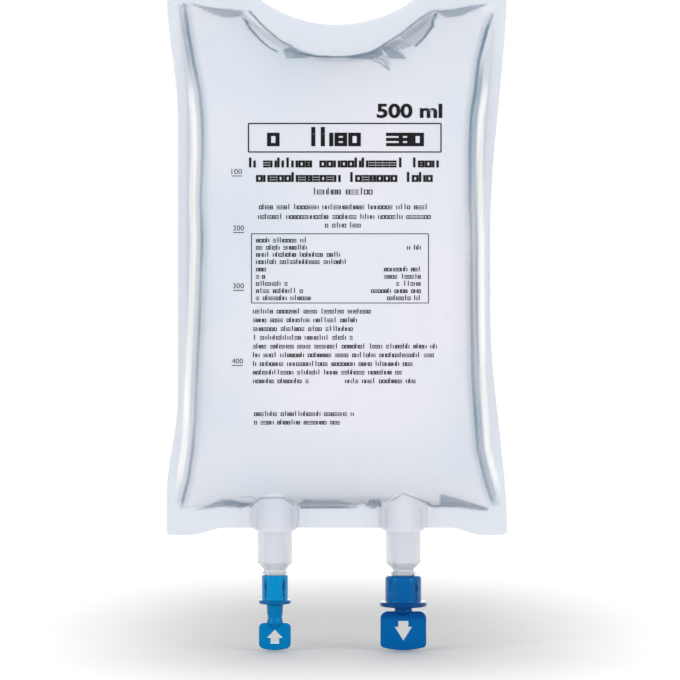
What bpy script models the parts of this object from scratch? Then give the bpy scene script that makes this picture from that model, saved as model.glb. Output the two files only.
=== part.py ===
"""Flexible infusion bag of 500 ml, as it hangs: hanging hole at the top, two capped ports at the bottom.

Metres, +Z up. The origin is the middle of the hanging hole's straight upper edge, in the plane where the two
films are welded. X runs along the bag's width, and -Y is the front. Heights are worked out downwards from
the origin, from the sizes below.
"""

import math
from dataclasses import dataclass

import bmesh
import bpy

MM = 0.001

# Clearance between pieces
CLEAR = 0.3 * MM

# Film and its hanging hole
FILM_THICK = 0.25 * MM
FILM_HALF_WIDTH = 64.6 * MM
TOP_BAND = 9.0 * MM
SIDE_WELD = 4.6 * MM
LEFT_DRAW_IN = 4.2 * MM
RIGHT_DRAW_IN = 6.4 * MM
BOTTOM_WELD = 9.0 * MM
CORNER_DROP = 2.8 * MM
CORNER_DROP_START = 22.0 * MM
CORNER_DROP_END = 9.0 * MM
CORNER_BLUNT = 0.8 * MM
HOLE_HALF_WIDTH = 31.0 * MM
HOLE_DEPTH = 19.5 * MM
HOLE_SIDE = 8.5 * MM
HOLE_CORNER_RADIUS = 3.0 * MM
HOLE_WELD = 12.2 * MM

# Filled chamber
CHAMBER_LENGTH = 190.2 * MM
DIP_DEPTH = 17.0 * MM
DIP_HALF_WIDTH = 36.5 * MM
CORNER_RISE = 3.4 * MM
CHAMBER_SAG = 1.5 * MM
HALF_THICK = 20.8 * MM
SECTION_POWER = 2.2
SECTION_FULLNESS = 0.62
LENGTH_POWER = 2.9
LENGTH_FULLNESS = 0.60
LOW_BELLY = 0.10

# Tubes of both ports
INJECTION_X = -23.6 * MM
INFUSION_X = 25.2 * MM
TUBE_RADIUS = 6.55 * MM
TUBE_WALL = 2.3 * MM
TUBE_CHAMFER = 1.9 * MM
TUBE_IN_CHAMBER = 2.7 * MM
TUBE_BELOW_FILM = 13.1 * MM
TUBE_SHOULDER = 2.5 * MM
NECK_LENGTH = 1.1 * MM
RIM_THICK = 0.9 * MM
WING_WIDTH = 3.0 * MM
FILM_SKIRT = 1.1 * MM
TENT_RISE = 9.0 * MM

# Caps of both ports
LIP_THICK = 1.0 * MM
COLLAR_FLOOR = 1.6 * MM
SEPTUM_THICK = 2.4 * MM
WEB_RECESS = 0.1 * MM
WEB_RECESS_MARGIN = 0.5 * MM
GRIP_GROOVES = 4
GRIP_HALF_WIDTH = 1.1 * MM
GRIP_DEPTH = 0.45 * MM
GRIP_MARGIN = 0.6 * MM

SEGMENTS = 24

# Heights that follow from the sizes
DIP_Z = -(HOLE_DEPTH + HOLE_WELD)
SHOULDER_Z = DIP_Z + DIP_DEPTH
CORNER_Z = SHOULDER_Z + CORNER_RISE
CHAMBER_BOTTOM_Z = CORNER_Z - CHAMBER_LENGTH
FILM_BOTTOM_Z = CHAMBER_BOTTOM_Z - BOTTOM_WELD
TUBE_TOP_Z = CHAMBER_BOTTOM_Z + TUBE_IN_CHAMBER
TUBE_SHOULDER_Z = FILM_BOTTOM_Z - TUBE_BELOW_FILM
NECK_Z = TUBE_SHOULDER_Z - TUBE_SHOULDER
RIM_Z = NECK_Z - NECK_LENGTH
COLLAR_TOP_Z = RIM_Z - RIM_THICK - CLEAR

# Widths that follow from the sizes
CHAMBER_HALF_WIDTH = FILM_HALF_WIDTH - SIDE_WELD
TUBE_BORE = TUBE_RADIUS - TUBE_WALL
SLEEVE_RADIUS = TUBE_RADIUS + CLEAR
SLEEVE_REACH = TUBE_RADIUS + WING_WIDTH
SLEEVE_TOUCH = SLEEVE_RADIUS**2 / SLEEVE_REACH


@dataclass
class Port:
    """One port: where it stands, and the sizes in which the two differ."""

    name: str
    x: float
    neck: float
    rim: float
    throat: float
    plug: float
    bore: float
    collar: float
    collar_height: float
    collar_rounding: float
    flange: float
    flange_thick: float
    mouth: float
    stem: float
    stem_length: float
    waist: float
    waist_length: float
    tab_width: float
    tab_height: float
    tab_thick: float
    top_corner: float
    low_corner: float
    bow: float
    head_width: float
    head_height: float
    shaft_width: float
    shaft_height: float
    points_up: bool

    def __post_init__(self):
        self.flange_z = COLLAR_TOP_Z - self.collar_height
        self.bottom_z = self.flange_z - self.flange_thick
        self.septum_z = self.bottom_z + COLLAR_FLOOR + CLEAR
        self.plug_end_z = self.septum_z + SEPTUM_THICK + CLEAR
        self.plug_top_z = COLLAR_TOP_Z - LIP_THICK - CLEAR
        self.tab_z = self.bottom_z + WEB_RECESS - CLEAR
        self.blade_z = self.tab_z - self.stem_length - self.waist_length


# Radii of the tube's end, the collar and the tab's stem, then the tab's blade and its arrow window
INJECTION = Port(
    name="injection",
    x=INJECTION_X,
    neck=4.25 * MM,
    rim=4.6 * MM,
    throat=3.5 * MM,
    plug=3.8 * MM,
    bore=2.4 * MM,
    collar=4.95 * MM,
    collar_height=9.4 * MM,
    collar_rounding=0.4 * MM,
    flange=6.1 * MM,
    flange_thick=1.5 * MM,
    mouth=2.3 * MM,
    stem=3.15 * MM,
    stem_length=4.3 * MM,
    waist=2.75 * MM,
    waist_length=2.8 * MM,
    tab_width=12.1 * MM,
    tab_height=10.4 * MM,
    tab_thick=2.2 * MM,
    top_corner=1.9 * MM,
    low_corner=2.1 * MM,
    bow=0.5 * MM,
    head_width=5.9 * MM,
    head_height=3.0 * MM,
    shaft_width=3.3 * MM,
    shaft_height=2.2 * MM,
    points_up=True,
)
INFUSION = Port(
    name="infusion",
    x=INFUSION_X,
    neck=3.95 * MM,
    rim=4.7 * MM,
    throat=3.9 * MM,
    plug=5.4 * MM,
    bore=2.9 * MM,
    collar=6.85 * MM,
    collar_height=10.1 * MM,
    collar_rounding=1.5 * MM,
    flange=8.95 * MM,
    flange_thick=1.8 * MM,
    mouth=3.2 * MM,
    stem=3.45 * MM,
    stem_length=0.8 * MM,
    waist=3.3 * MM,
    waist_length=0.9 * MM,
    tab_width=17.4 * MM,
    tab_height=14.8 * MM,
    tab_thick=2.6 * MM,
    top_corner=2.8 * MM,
    low_corner=1.6 * MM,
    bow=0.9 * MM,
    head_width=6.6 * MM,
    head_height=5.3 * MM,
    shaft_width=3.8 * MM,
    shaft_height=2.2 * MM,
    points_up=False,
)
PORTS = (INJECTION, INFUSION)


# Scene and materials


def clear_scene():
    for old in list(bpy.data.objects):
        bpy.data.objects.remove(old, do_unlink=True)


def material(name, colour, roughness, alpha=1.0, transmission=0.0):
    made = bpy.data.materials.new(name)
    made.use_nodes = True
    shader = made.node_tree.nodes["Principled BSDF"]
    shader.inputs["Base Color"].default_value = (*colour, 1.0)
    shader.inputs["Roughness"].default_value = roughness
    shader.inputs["Metallic"].default_value = 0.0
    shader.inputs["Alpha"].default_value = alpha
    shader.inputs["Transmission Weight"].default_value = transmission
    return made


def object_from(work, name, finish=None, place=(0, 0, 0)):
    """A new object with what the bmesh holds, its origin at the place."""
    mesh = bpy.data.meshes.new(name)
    work.to_mesh(mesh)
    work.free()
    obj = bpy.data.objects.new(name, mesh)
    obj.location = place
    bpy.context.scene.collection.objects.link(obj)
    if finish:
        mesh.materials.append(finish)
    return obj


def boolean(obj, other, operation):
    """Joins or cuts with a helper object, which isn't a piece of the bag itself."""
    other.hide_render = True
    other.display_type = "WIRE"
    modifier = obj.modifiers.new(operation.title(), "BOOLEAN")
    modifier.operation = operation
    modifier.object = other


def smooth(obj, angle=35):
    obj.data.shade_smooth()
    obj.data.set_sharp_from_angle(angle=math.radians(angle))
    return obj


# Turned and extruded shapes


def turned(name, profile, x, finish=None):
    """A closed profile of (radius, z) turned about the vertical axis through x, its origin on that axis."""
    work = bmesh.new()
    verts = [work.verts.new((radius, 0, z)) for radius, z in profile]
    edges = [work.edges.new(pair) for pair in zip(verts, verts[1:] + verts[:1])]
    bmesh.ops.spin(
        work,
        geom=[*verts, *edges],
        axis=(0, 0, 1),
        cent=(0, 0, 0),
        steps=SEGMENTS,
        angle=math.tau,
        use_merge=True,
    )
    bmesh.ops.remove_doubles(work, verts=work.verts, dist=1e-6)
    bmesh.ops.recalc_face_normals(work, faces=work.faces)
    return object_from(work, name, finish, (x, 0, 0))


def extruded(name, corners, vector, place):
    """A flat face of the given corners, pushed along the vector into a closed solid."""
    work = bmesh.new()
    face = work.faces.new([work.verts.new(corner) for corner in corners])
    pushed = bmesh.ops.extrude_face_region(work, geom=[face])
    moved = [v for v in pushed["geom"] if isinstance(v, bmesh.types.BMVert)]
    bmesh.ops.translate(work, vec=vector, verts=moved)
    bmesh.ops.recalc_face_normals(work, faces=work.faces)
    return object_from(work, name, place=place)


def plate(name, outline, thick, x=0.0, z=0.0):
    """An outline in x and z, extruded evenly to both sides of y = 0."""
    corners = [(px, -thick / 2, pz) for px, pz in outline]
    return extruded(name, corners, (0, thick, 0), (x, 0, z))


def arc(centre, radius, first, last, steps):
    """Points on a circle from one angle to another, in degrees."""
    turns = (math.radians(first + (last - first) * i / steps) for i in range(steps + 1))
    return [(centre[0] + radius * math.cos(t), centre[1] + radius * math.sin(t)) for t in turns]


# Curves of the bag


def ramp(value, start, end):
    """0 at start and 1 at end, easing at both."""
    share = min(1.0, max(0.0, (value - start) / (end - start)))
    return share * share * (3 - 2 * share)


def drawn_in(x, z):
    """Where a point x of the flat film lies once the filled chamber has drawn its sides in."""
    depth = (CORNER_Z - z) / CHAMBER_LENGTH
    if x < 0:
        drawn = LEFT_DRAW_IN * ramp(depth, -0.02, 0.23) * ramp(depth, 0.98, 0.79)
    else:
        drawn = RIGHT_DRAW_IN * ramp(depth, -0.06, 0.46) * ramp(depth, 1.06, 0.62)
    return x - math.copysign(drawn * (x / FILM_HALF_WIDTH) ** 2, x)


def chamber_top(x):
    """Height of the weld above the chamber: it dips under the hanging hole and rises to the corners."""
    across = abs(x)
    if across < DIP_HALF_WIDTH:
        return SHOULDER_Z - DIP_DEPTH * (1 - (across / DIP_HALF_WIDTH) ** 2)
    outward = (across - DIP_HALF_WIDTH) / (CHAMBER_HALF_WIDTH - DIP_HALF_WIDTH)
    return SHOULDER_Z + CORNER_RISE * min(1.0, outward)


def chamber_bottom(x):
    """Height of the weld below the chamber, which sags to the corners."""
    return CHAMBER_BOTTOM_Z - CHAMBER_SAG * (x / CHAMBER_HALF_WIDTH) ** 2


def film_bottom(x):
    """Height of the film's lower edge, which drops at the corners and laps a little way down the tubes."""
    drop = CORNER_DROP * ramp(FILM_HALF_WIDTH - abs(x), CORNER_DROP_START, CORNER_DROP_END)
    nearest = min(abs(x - port.x) for port in PORTS)
    return FILM_BOTTOM_Z - drop - FILM_SKIRT * ramp(nearest, SLEEVE_REACH, SLEEVE_RADIUS)


def folds():
    """Creases pressed into the film where the welds turn: start, end, half width, depth as a share."""
    corner_x = CHAMBER_HALF_WIDTH
    dip_x, drop = DIP_HALF_WIDTH, DIP_DEPTH
    low = CHAMBER_BOTTOM_Z
    return (
        ((-dip_x, SHOULDER_Z - 0.2 * drop), (-0.55 * dip_x, DIP_Z), 2.6 * MM, 0.45),
        ((dip_x, SHOULDER_Z - 0.2 * drop), (0.72 * dip_x, DIP_Z + 0.1 * drop), 3.4 * MM, 0.50),
        ((0.46 * dip_x, DIP_Z + 0.2 * drop), (0.55 * dip_x, DIP_Z - 0.3 * drop), 2.6 * MM, 0.40),
        ((-dip_x, SHOULDER_Z), (-dip_x, SHOULDER_Z - 1.6 * drop), 5.0 * MM, 0.10),
        ((dip_x, SHOULDER_Z), (1.04 * dip_x, SHOULDER_Z - 1.6 * drop), 5.0 * MM, 0.10),
        ((-0.78 * corner_x, low + 2.0 * MM), (-0.5 * corner_x, low + 5.0 * MM), 3.0 * MM, 0.35),
        ((0.66 * corner_x, low + 6.0 * MM), (0.94 * corner_x, low), 3.0 * MM, 0.35),
    )


def creased(x, z):
    """What share of its fullness the chamber keeps at a point, between the creases."""
    kept = 1.0
    for (x1, z1), (x2, z2), half_width, depth in folds():
        run_x, run_z = x2 - x1, z2 - z1
        length = math.hypot(run_x, run_z)
        along = ((x - x1) * run_x + (z - z1) * run_z) / length
        off = abs((x - x1) * run_z - (z - z1) * run_x) / length
        past = max(0.0, -along, along - length)
        away = math.hypot(off, past) / half_width
        if away < 1:
            kept *= 1 - depth * (1 - away * away) ** 2
    return kept


def fullness(x, z):
    """Half thickness of the filled chamber at a point of the film as it lies flat."""
    share, top, bottom = abs(x) / CHAMBER_HALF_WIDTH, chamber_top(x), chamber_bottom(x)
    if share >= 1 or z >= top or z <= bottom:
        return 0.0
    along = 2 * (top - z) / (top - bottom) - 1
    section = (1 - share**SECTION_POWER) ** SECTION_FULLNESS
    length = (1 - abs(along) ** LENGTH_POWER) ** LENGTH_FULLNESS
    return HALF_THICK * section * length * (1 + LOW_BELLY * along) * creased(x, z)


def port_swell(x, z):
    """How far the film stands off the weld plane round a tube, and tents over its end."""
    most = 0.0
    for port in PORTS:
        across = abs(x - port.x)
        if across >= SLEEVE_REACH - 1e-9:
            continue
        if across <= SLEEVE_TOUCH + 1e-9:
            height = math.sqrt(SLEEVE_RADIUS**2 - across**2)
        else:
            height = math.sqrt(SLEEVE_RADIUS**2 - SLEEVE_TOUCH**2)
            height *= (SLEEVE_REACH - across) / (SLEEVE_REACH - SLEEVE_TOUCH)
        most = max(most, height * (1 - ramp(z, TUBE_TOP_Z + CLEAR, TUBE_TOP_Z + TENT_RISE)))
    return most


# Grid of the film

EDGE_STEPS = (0.012, 0.034, 0.078, 0.16, 0.28)
MIDDLE_STEPS = (0.27, 0.5, 0.73)
HIGH_COLUMNS = 12
UPPER_STEPS = (0.007, 0.017, 0.031, 0.05, 0.08, 0.12, 0.18, 0.27, 0.38, 0.5, 0.62, 0.74, 0.86, 1.0)
HIGH_ROWS = 9
LOW_ZONE = 14.5 * MM
LOWER_STEPS = (0.36, 0.66)


def sleeve_columns(port):
    """Columns that follow the round of a tube and its two wings."""
    widest = math.asin(SLEEVE_TOUCH / SLEEVE_RADIUS)
    bends = [SLEEVE_RADIUS * math.sin(widest * step / 3) for step in range(-3, 4)]
    return [-SLEEVE_REACH + port.x, *(bend + port.x for bend in bends), SLEEVE_REACH + port.x]


def columns():
    """Left to right, every column's place on the flat film, and the rows it runs in."""
    edge = [CHAMBER_HALF_WIDTH * (1 - step) for step in (0.0, *EDGE_STEPS)]
    whole = {FILM_HALF_WIDTH, -FILM_HALF_WIDTH, *edge, *(-x for x in edge)}
    low = set()
    for port in PORTS:
        sleeve = sleeve_columns(port)
        whole |= {sleeve[0], sleeve[4], sleeve[8]}
        low |= set(sleeve) - whole
    gap_start, gap_end = INJECTION.x + SLEEVE_REACH, INFUSION.x - SLEEVE_REACH
    whole |= {gap_start + (gap_end - gap_start) * share for share in MIDDLE_STEPS}
    reach = DIP_HALF_WIDTH * 1.08
    high = {reach * (2 * step / HIGH_COLUMNS - 1) for step in range(HIGH_COLUMNS + 1)}
    crowded = DIP_HALF_WIDTH / HIGH_COLUMNS * 0.5
    high = {x for x in high if min(abs(x - other) for other in whole) > crowded}
    kinds = [(x, "whole") for x in whole] + [(x, "low") for x in low] + [(x, "high") for x in high]
    return sorted(kinds)


def rows():
    """Top to bottom: each row's height as a function of x, and the columns it leaves out."""
    low_start = CHAMBER_BOTTOM_Z + LOW_ZONE
    made = [(lambda x: TOP_BAND, "low"), (chamber_top, "low")]
    for number, step in enumerate(UPPER_STEPS):
        left_out = ("low",) if number < HIGH_ROWS else ("low", "high")
        made.append((lambda x, s=step: chamber_top(x) + (low_start - chamber_top(x)) * s, left_out))
    for step in LOWER_STEPS:
        made.append((lambda x, s=step: low_start + (TUBE_TOP_Z - low_start) * s, "high"))
    for level in (TUBE_TOP_Z + CLEAR, TUBE_TOP_Z - TUBE_CHAMFER):
        made.append((lambda x, z=level: z, "high"))
    made.append((chamber_bottom, "high"))
    made.append((lambda x: (chamber_bottom(x) + film_bottom(x)) / 2, "high"))
    return [*made, (film_bottom, "high")]


def bag_grid():
    """Points (x, z, half thickness, whether in the chamber) and the triangles between them."""
    cols, levels = columns(), rows()
    last_row, last_col = len(levels) - 1, len(cols) - 1
    points, strips = [], []
    for r, (height, left_out) in enumerate(levels):
        strip = []
        for c, (x, kind) in enumerate(cols):
            if kind in left_out:
                continue
            z = height(x)
            half = max(fullness(x, z), port_swell(x, z)) if r else 0.0
            wet = r > 1 and abs(x) < CHAMBER_HALF_WIDTH - 1e-9 and z > chamber_bottom(x) + 1e-9
            place = drawn_in(x, z)
            if r in (0, last_row) and c in (0, last_col):
                z += CORNER_BLUNT if r else -CORNER_BLUNT
                place -= math.copysign(CORNER_BLUNT, x)
            strip.append((c, len(points)))
            points.append((place, z, half, wet))
        strips.append(strip)
    triangles = []
    for upper, lower in zip(strips, strips[1:]):
        triangles += stitched(upper, lower)
    return points, triangles


def stitched(upper, lower):
    """Triangles between two rows, whose columns needn't be the same."""
    made, i, j = [], 0, 0
    while i < len(upper) - 1 or j < len(lower) - 1:
        top_next = upper[i + 1][0] if i < len(upper) - 1 else math.inf
        low_next = lower[j + 1][0] if j < len(lower) - 1 else math.inf
        if top_next <= low_next:
            made.append((upper[i][1], upper[i + 1][1], lower[j][1]))
            i += 1
        else:
            made.append((upper[i][1], lower[j + 1][1], lower[j][1]))
            j += 1
    return made


# The bag's own pieces


def film(name, side, finish):
    """One film sheet: the grid is its inner face, and its thickness is added outwards."""
    points, triangles = bag_grid()
    work = bmesh.new()
    verts = [work.verts.new((x, side * half, z)) for x, z, half, _ in points]
    for a, b, c in triangles:
        corners = (a, b, c) if side > 0 else (a, c, b)
        work.faces.new([verts[i] for i in corners])
    obj = object_from(work, name, finish)
    solid = obj.modifiers.new("Thickness", "SOLIDIFY")
    solid.thickness = FILM_THICK
    solid.offset = 1.0
    solid.use_even_offset = False
    boolean(obj, hanging_hole(f"{name}_hole"), "DIFFERENCE")
    return smooth(obj, 60)


def hanging_hole(name):
    """Cutter of the hanging hole: a straight upper edge, round corners, and an arc below."""
    dip = HOLE_DEPTH - HOLE_SIDE
    radius = (HOLE_HALF_WIDTH**2 + dip**2) / (2 * dip)
    half_turn = math.degrees(math.asin(HOLE_HALF_WIDTH / radius))
    corner = (HOLE_HALF_WIDTH - HOLE_CORNER_RADIUS, -HOLE_CORNER_RADIUS)
    outline = [
        *arc(corner, HOLE_CORNER_RADIUS, 90, 0, 5),
        *arc((0, radius - HOLE_DEPTH), radius, -90 + half_turn, -90 - half_turn, 18),
        *arc((-corner[0], corner[1]), HOLE_CORNER_RADIUS, 180, 90, 5),
    ]
    return plate(name, outline, HALF_THICK)


def saline(finish):
    """The liquid: the chamber taken in by the clearance, with a column of it down each tube."""
    points, triangles = bag_grid()
    inset = CLEAR + FILM_THICK / 2
    held = [wet and half > 2 * inset for _, _, half, wet in points]
    kept = [t for t in triangles if all(held[i] for i in t)]
    work = bmesh.new()
    skins = {}
    for side in (-1, 1):
        used = {i for t in kept for i in t}
        skin = {i: work.verts.new((points[i][0], side * (points[i][2] - inset), points[i][1])) for i in used}
        skins[side] = skin
        for a, b, c in kept:
            corners = (a, b, c) if side > 0 else (a, c, b)
            work.faces.new([skin[i] for i in corners])
    for a, b in rim_edges(kept):
        work.faces.new((skins[1][b], skins[1][a], skins[-1][a], skins[-1][b]))
    bmesh.ops.recalc_face_normals(work, faces=work.faces)
    obj = object_from(work, "saline", finish)
    for port in PORTS:
        boolean(obj, tube_room(port), "DIFFERENCE")
        boolean(obj, liquid_column(port), "UNION")
    return smooth(obj, 50)


def rim_edges(triangles):
    """The edges that only one triangle has, in that triangle's order."""
    edges = {edge for a, b, c in triangles for edge in ((a, b), (b, c), (c, a))}
    return sorted((a, b) for a, b in edges if (b, a) not in edges)


def tube_room(port):
    """The space that the tube's end takes out of the liquid."""
    top, bottom = TUBE_TOP_Z + CLEAR, CHAMBER_BOTTOM_Z - CLEAR
    profile = [(0, top), (SLEEVE_RADIUS, top), (SLEEVE_RADIUS, bottom), (0, bottom)]
    return turned(f"{port.name}_tube_room", profile, port.x)


def liquid_column(port):
    """The liquid that stands in a tube's bore, down to the septum.

    It is turned by half a segment, so that its corners lie off the edges of the tube's room.
    """
    wide, narrow = TUBE_BORE - CLEAR, port.bore - CLEAR
    top, end = TUBE_TOP_Z + TUBE_CHAMFER, port.plug_end_z
    profile = [
        (0, top),
        (wide, top),
        (wide, TUBE_SHOULDER_Z + CLEAR),
        (narrow, NECK_Z + CLEAR),
        (narrow, end),
        (0, end),
    ]
    column = turned(f"{port.name}_liquid_column", profile, port.x)
    column.rotation_euler.z = math.pi / SEGMENTS
    return column


# The pieces of a port


def port_tube(port, finish):
    """Moulded tube: it opens into the chamber, is welded between the films, and plugs into the collar."""
    neck_bottom = RIM_Z - RIM_THICK
    profile = [
        (TUBE_BORE, TUBE_TOP_Z),
        (TUBE_RADIUS - TUBE_CHAMFER, TUBE_TOP_Z),
        (TUBE_RADIUS, TUBE_TOP_Z - TUBE_CHAMFER),
        (TUBE_RADIUS, TUBE_SHOULDER_Z),
        (port.neck, NECK_Z),
        (port.neck, RIM_Z),
        (port.rim, RIM_Z),
        (port.rim, neck_bottom),
        (port.throat, neck_bottom),
        (port.throat, port.plug_top_z),
        (port.plug, port.plug_top_z),
        (port.plug, port.plug_end_z),
        (port.bore, port.plug_end_z),
        (port.bore, NECK_Z),
        (TUBE_BORE, TUBE_SHOULDER_Z),
    ]
    tube = turned(f"{port.name}_port_tube", profile, port.x, finish)
    boolean(tube, wings(port), "UNION")
    boolean(tube, bore(port), "DIFFERENCE")
    return smooth(tube)


def wings(port):
    """Boat-shaped weld section, whose flanks run parallel to the films that close on it."""
    tip = SLEEVE_REACH - CLEAR * SLEEVE_REACH / SLEEVE_RADIUS
    flank_x = SLEEVE_TOUCH * TUBE_RADIUS / SLEEVE_RADIUS
    flank_y = math.sqrt(TUBE_RADIUS**2 - flank_x**2)
    half = [(tip, 0), (flank_x, flank_y), (-flank_x, flank_y)]
    section = [*half, *((-px, -py) for px, py in half)]
    bottom = FILM_BOTTOM_Z + CLEAR
    corners = [(px, py, 0) for px, py in section]
    rise = (0, 0, CHAMBER_BOTTOM_Z - bottom)
    return extruded(f"{port.name}_wings", corners, rise, (port.x, 0, bottom))


def bore(port):
    """Cutter that clears the weld section out of the tube's bore."""
    top, bottom = CHAMBER_BOTTOM_Z + CLEAR, FILM_BOTTOM_Z - CLEAR
    profile = [(0, top), (TUBE_BORE, top), (TUBE_BORE, bottom), (0, bottom)]
    return turned(f"{port.name}_bore", profile, port.x)


def collar(port, finish):
    """Cap collar: a cup round the tube's end, its lip over the plug, its floor under the septum.

    Shallow grooves down its wall give the fingers a grip, and the flange is recessed round the tab's stem,
    where the thin web between collar and tab breaks.
    """
    inside, throat = port.plug + CLEAR, port.throat + CLEAR
    rounding = (port.collar - port.collar_rounding, COLLAR_TOP_Z - port.collar_rounding)
    edge = port.flange_thick / 4
    recess = port.stem + WEB_RECESS_MARGIN
    floor_z = port.bottom_z + COLLAR_FLOOR
    profile = [
        (throat, COLLAR_TOP_Z),
        *arc(rounding, port.collar_rounding, 90, 0, 3),
        (port.collar, port.flange_z),
        (port.flange - edge, port.flange_z),
        (port.flange, port.flange_z - edge),
        (port.flange, port.bottom_z + edge),
        (port.flange - edge, port.bottom_z),
        (recess, port.bottom_z),
        (recess, port.bottom_z + WEB_RECESS),
        (port.mouth, port.bottom_z + WEB_RECESS),
        (port.mouth, floor_z),
        (inside, floor_z),
        (inside, COLLAR_TOP_Z - LIP_THICK),
        (throat, COLLAR_TOP_Z - LIP_THICK),
    ]
    cup = turned(f"{port.name}_collar", profile, port.x, finish)
    for number in range(GRIP_GROOVES):
        boolean(cup, grip_groove(port, number), "DIFFERENCE")
    return smooth(cup)


def grip_groove(port, number):
    """Cutter of one grip groove: an upright spindle that dips into the collar's wall."""
    top = COLLAR_TOP_Z - port.collar_rounding - GRIP_MARGIN
    low = port.flange_z + GRIP_MARGIN
    half, middle = (top - low) / 2, (top + low) / 2
    radius = (half**2 + GRIP_HALF_WIDTH**2) / (2 * GRIP_HALF_WIDTH)
    end = math.degrees(math.asin(half / radius))
    spindle = arc((GRIP_HALF_WIDTH - radius, middle), radius, end, -end, 8)
    cutter = turned(f"{port.name}_grip_{number}", spindle, port.x)
    turn = math.tau * (number + 0.5) / GRIP_GROOVES
    away = port.collar + GRIP_HALF_WIDTH - GRIP_DEPTH
    cutter.location.x += away * math.sin(turn)
    cutter.location.y -= away * math.cos(turn)
    return cutter


def septum(port, finish):
    """Rubber disc between the tube's end and the collar's floor."""
    bottom, top = port.septum_z, port.septum_z + SEPTUM_THICK
    edge = SEPTUM_THICK / 8
    profile = [
        (0, top),
        (port.plug - edge, top),
        (port.plug, top - edge),
        (port.plug, bottom + edge),
        (port.plug - edge, bottom),
        (0, bottom),
    ]
    return smooth(turned(f"{port.name}_septum", profile, port.x, finish))


def break_off_tab(port, finish):
    """Twist-off tab: a waisted round stem that runs into a flat blade with an arrow window."""
    flare = port.blade_z - port.low_corner
    waist_z = port.tab_z - port.stem_length
    profile = [
        (0, port.tab_z),
        (port.stem, port.tab_z),
        ((port.stem + port.waist) / 2, waist_z + port.waist_length / 8),
        (port.waist, waist_z),
        (port.waist, waist_z - port.waist_length / 3),
        (port.stem, port.blade_z),
        (port.waist / 2, flare),
        (0, flare),
    ]
    tab = turned(f"{port.name}_break_off_tab", profile, port.x, finish)
    blade = plate(f"{port.name}_blade", blade_outline(port), port.tab_thick, port.x, port.blade_z)
    rounding = blade.modifiers.new("Edges", "BEVEL")
    rounding.width = port.tab_thick * 0.22
    rounding.segments = 2
    rounding.limit_method = "ANGLE"
    rounding.angle_limit = math.radians(60)
    boolean(tab, blade, "UNION")
    middle_z = port.blade_z - port.tab_height / 2
    window = plate(f"{port.name}_arrow", arrow_outline(port), 4 * port.tab_thick, port.x, middle_z)
    boolean(tab, window, "DIFFERENCE")
    return smooth(tab)


def blade_outline(port):
    """The blade, hung from its upper edge: round corners, and a lower edge that bows."""
    half, low = port.tab_width / 2, port.bow - port.tab_height
    top, bottom = port.top_corner, port.low_corner
    return [
        *arc((half - top, -top), top, 90, 0, 4),
        *arc((half - bottom, low + bottom), bottom, 0, -90, 4),
        (0, -port.tab_height),
        *arc((bottom - half, low + bottom), bottom, -90, -180, 4),
        *arc((top - half, -top), top, 180, 90, 4),
    ]


def arrow_outline(port):
    """The arrow window, centred on the blade."""
    head, shaft = port.head_width / 2, port.shaft_width / 2
    half = (port.head_height + port.shaft_height) / 2
    neck = half - port.head_height
    right = [(shaft, -half), (shaft, neck), (head, neck)]
    outline = [(0, half), *((-x, z) for x, z in reversed(right)), *right]
    return outline if port.points_up else [(-x, -z) for x, z in outline]


def main():
    clear_scene()
    film_finish = material("clear_film", (0.80, 0.86, 0.91), 0.18, alpha=0.35)
    liquid_finish = material("saline", (0.92, 0.96, 0.99), 0.02, transmission=1.0)
    tube_finish = material("frosted_polypropylene", (0.84, 0.86, 0.90), 0.35, alpha=0.6)
    rubber_finish = material("stopper_rubber", (0.62, 0.60, 0.56), 0.7)
    light_blue = material("light_blue_polypropylene", (0.02, 0.27, 0.52), 0.3)
    dark_blue = material("dark_blue_polypropylene", (0.01, 0.12, 0.36), 0.3)
    film("front_film", -1, film_finish)
    film("back_film", 1, film_finish)
    saline(liquid_finish)
    for port, blue in ((INJECTION, light_blue), (INFUSION, dark_blue)):
        port_tube(port, tube_finish)
        collar(port, blue)
        septum(port, rubber_finish)
        break_off_tab(port, blue)


main()
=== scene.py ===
"""Infusion bag of 500 ml: finishes, fine shapes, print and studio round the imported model.

Metres, +Z up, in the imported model's own frame: the origin is the middle of the hanging hole's upper edge,
X runs along the bag's width and -Y is the front. The film's curves and the ports' profiles have the sizes
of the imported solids, at a finer resolution.
"""

import math
from functools import partial
from itertools import count
from types import SimpleNamespace

import bmesh
import bpy
import numpy as np
from mathutils import Matrix, Vector
from mathutils.bvhtree import BVHTree


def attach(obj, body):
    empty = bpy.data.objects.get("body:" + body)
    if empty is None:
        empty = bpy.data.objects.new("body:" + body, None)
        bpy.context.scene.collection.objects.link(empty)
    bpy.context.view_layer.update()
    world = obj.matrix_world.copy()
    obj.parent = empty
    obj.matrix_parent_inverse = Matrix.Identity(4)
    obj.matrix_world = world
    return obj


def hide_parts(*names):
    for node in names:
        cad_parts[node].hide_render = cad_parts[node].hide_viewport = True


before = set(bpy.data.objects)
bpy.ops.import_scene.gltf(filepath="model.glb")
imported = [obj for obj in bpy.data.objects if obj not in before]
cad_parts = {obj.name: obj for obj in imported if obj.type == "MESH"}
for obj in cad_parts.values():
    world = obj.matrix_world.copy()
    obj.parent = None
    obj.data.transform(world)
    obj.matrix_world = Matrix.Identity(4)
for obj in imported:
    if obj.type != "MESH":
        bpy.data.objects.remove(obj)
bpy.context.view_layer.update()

MM = 0.001
CLEAR = 0.3 * MM
WHITE = (1.0, 1.0, 1.0)

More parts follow.
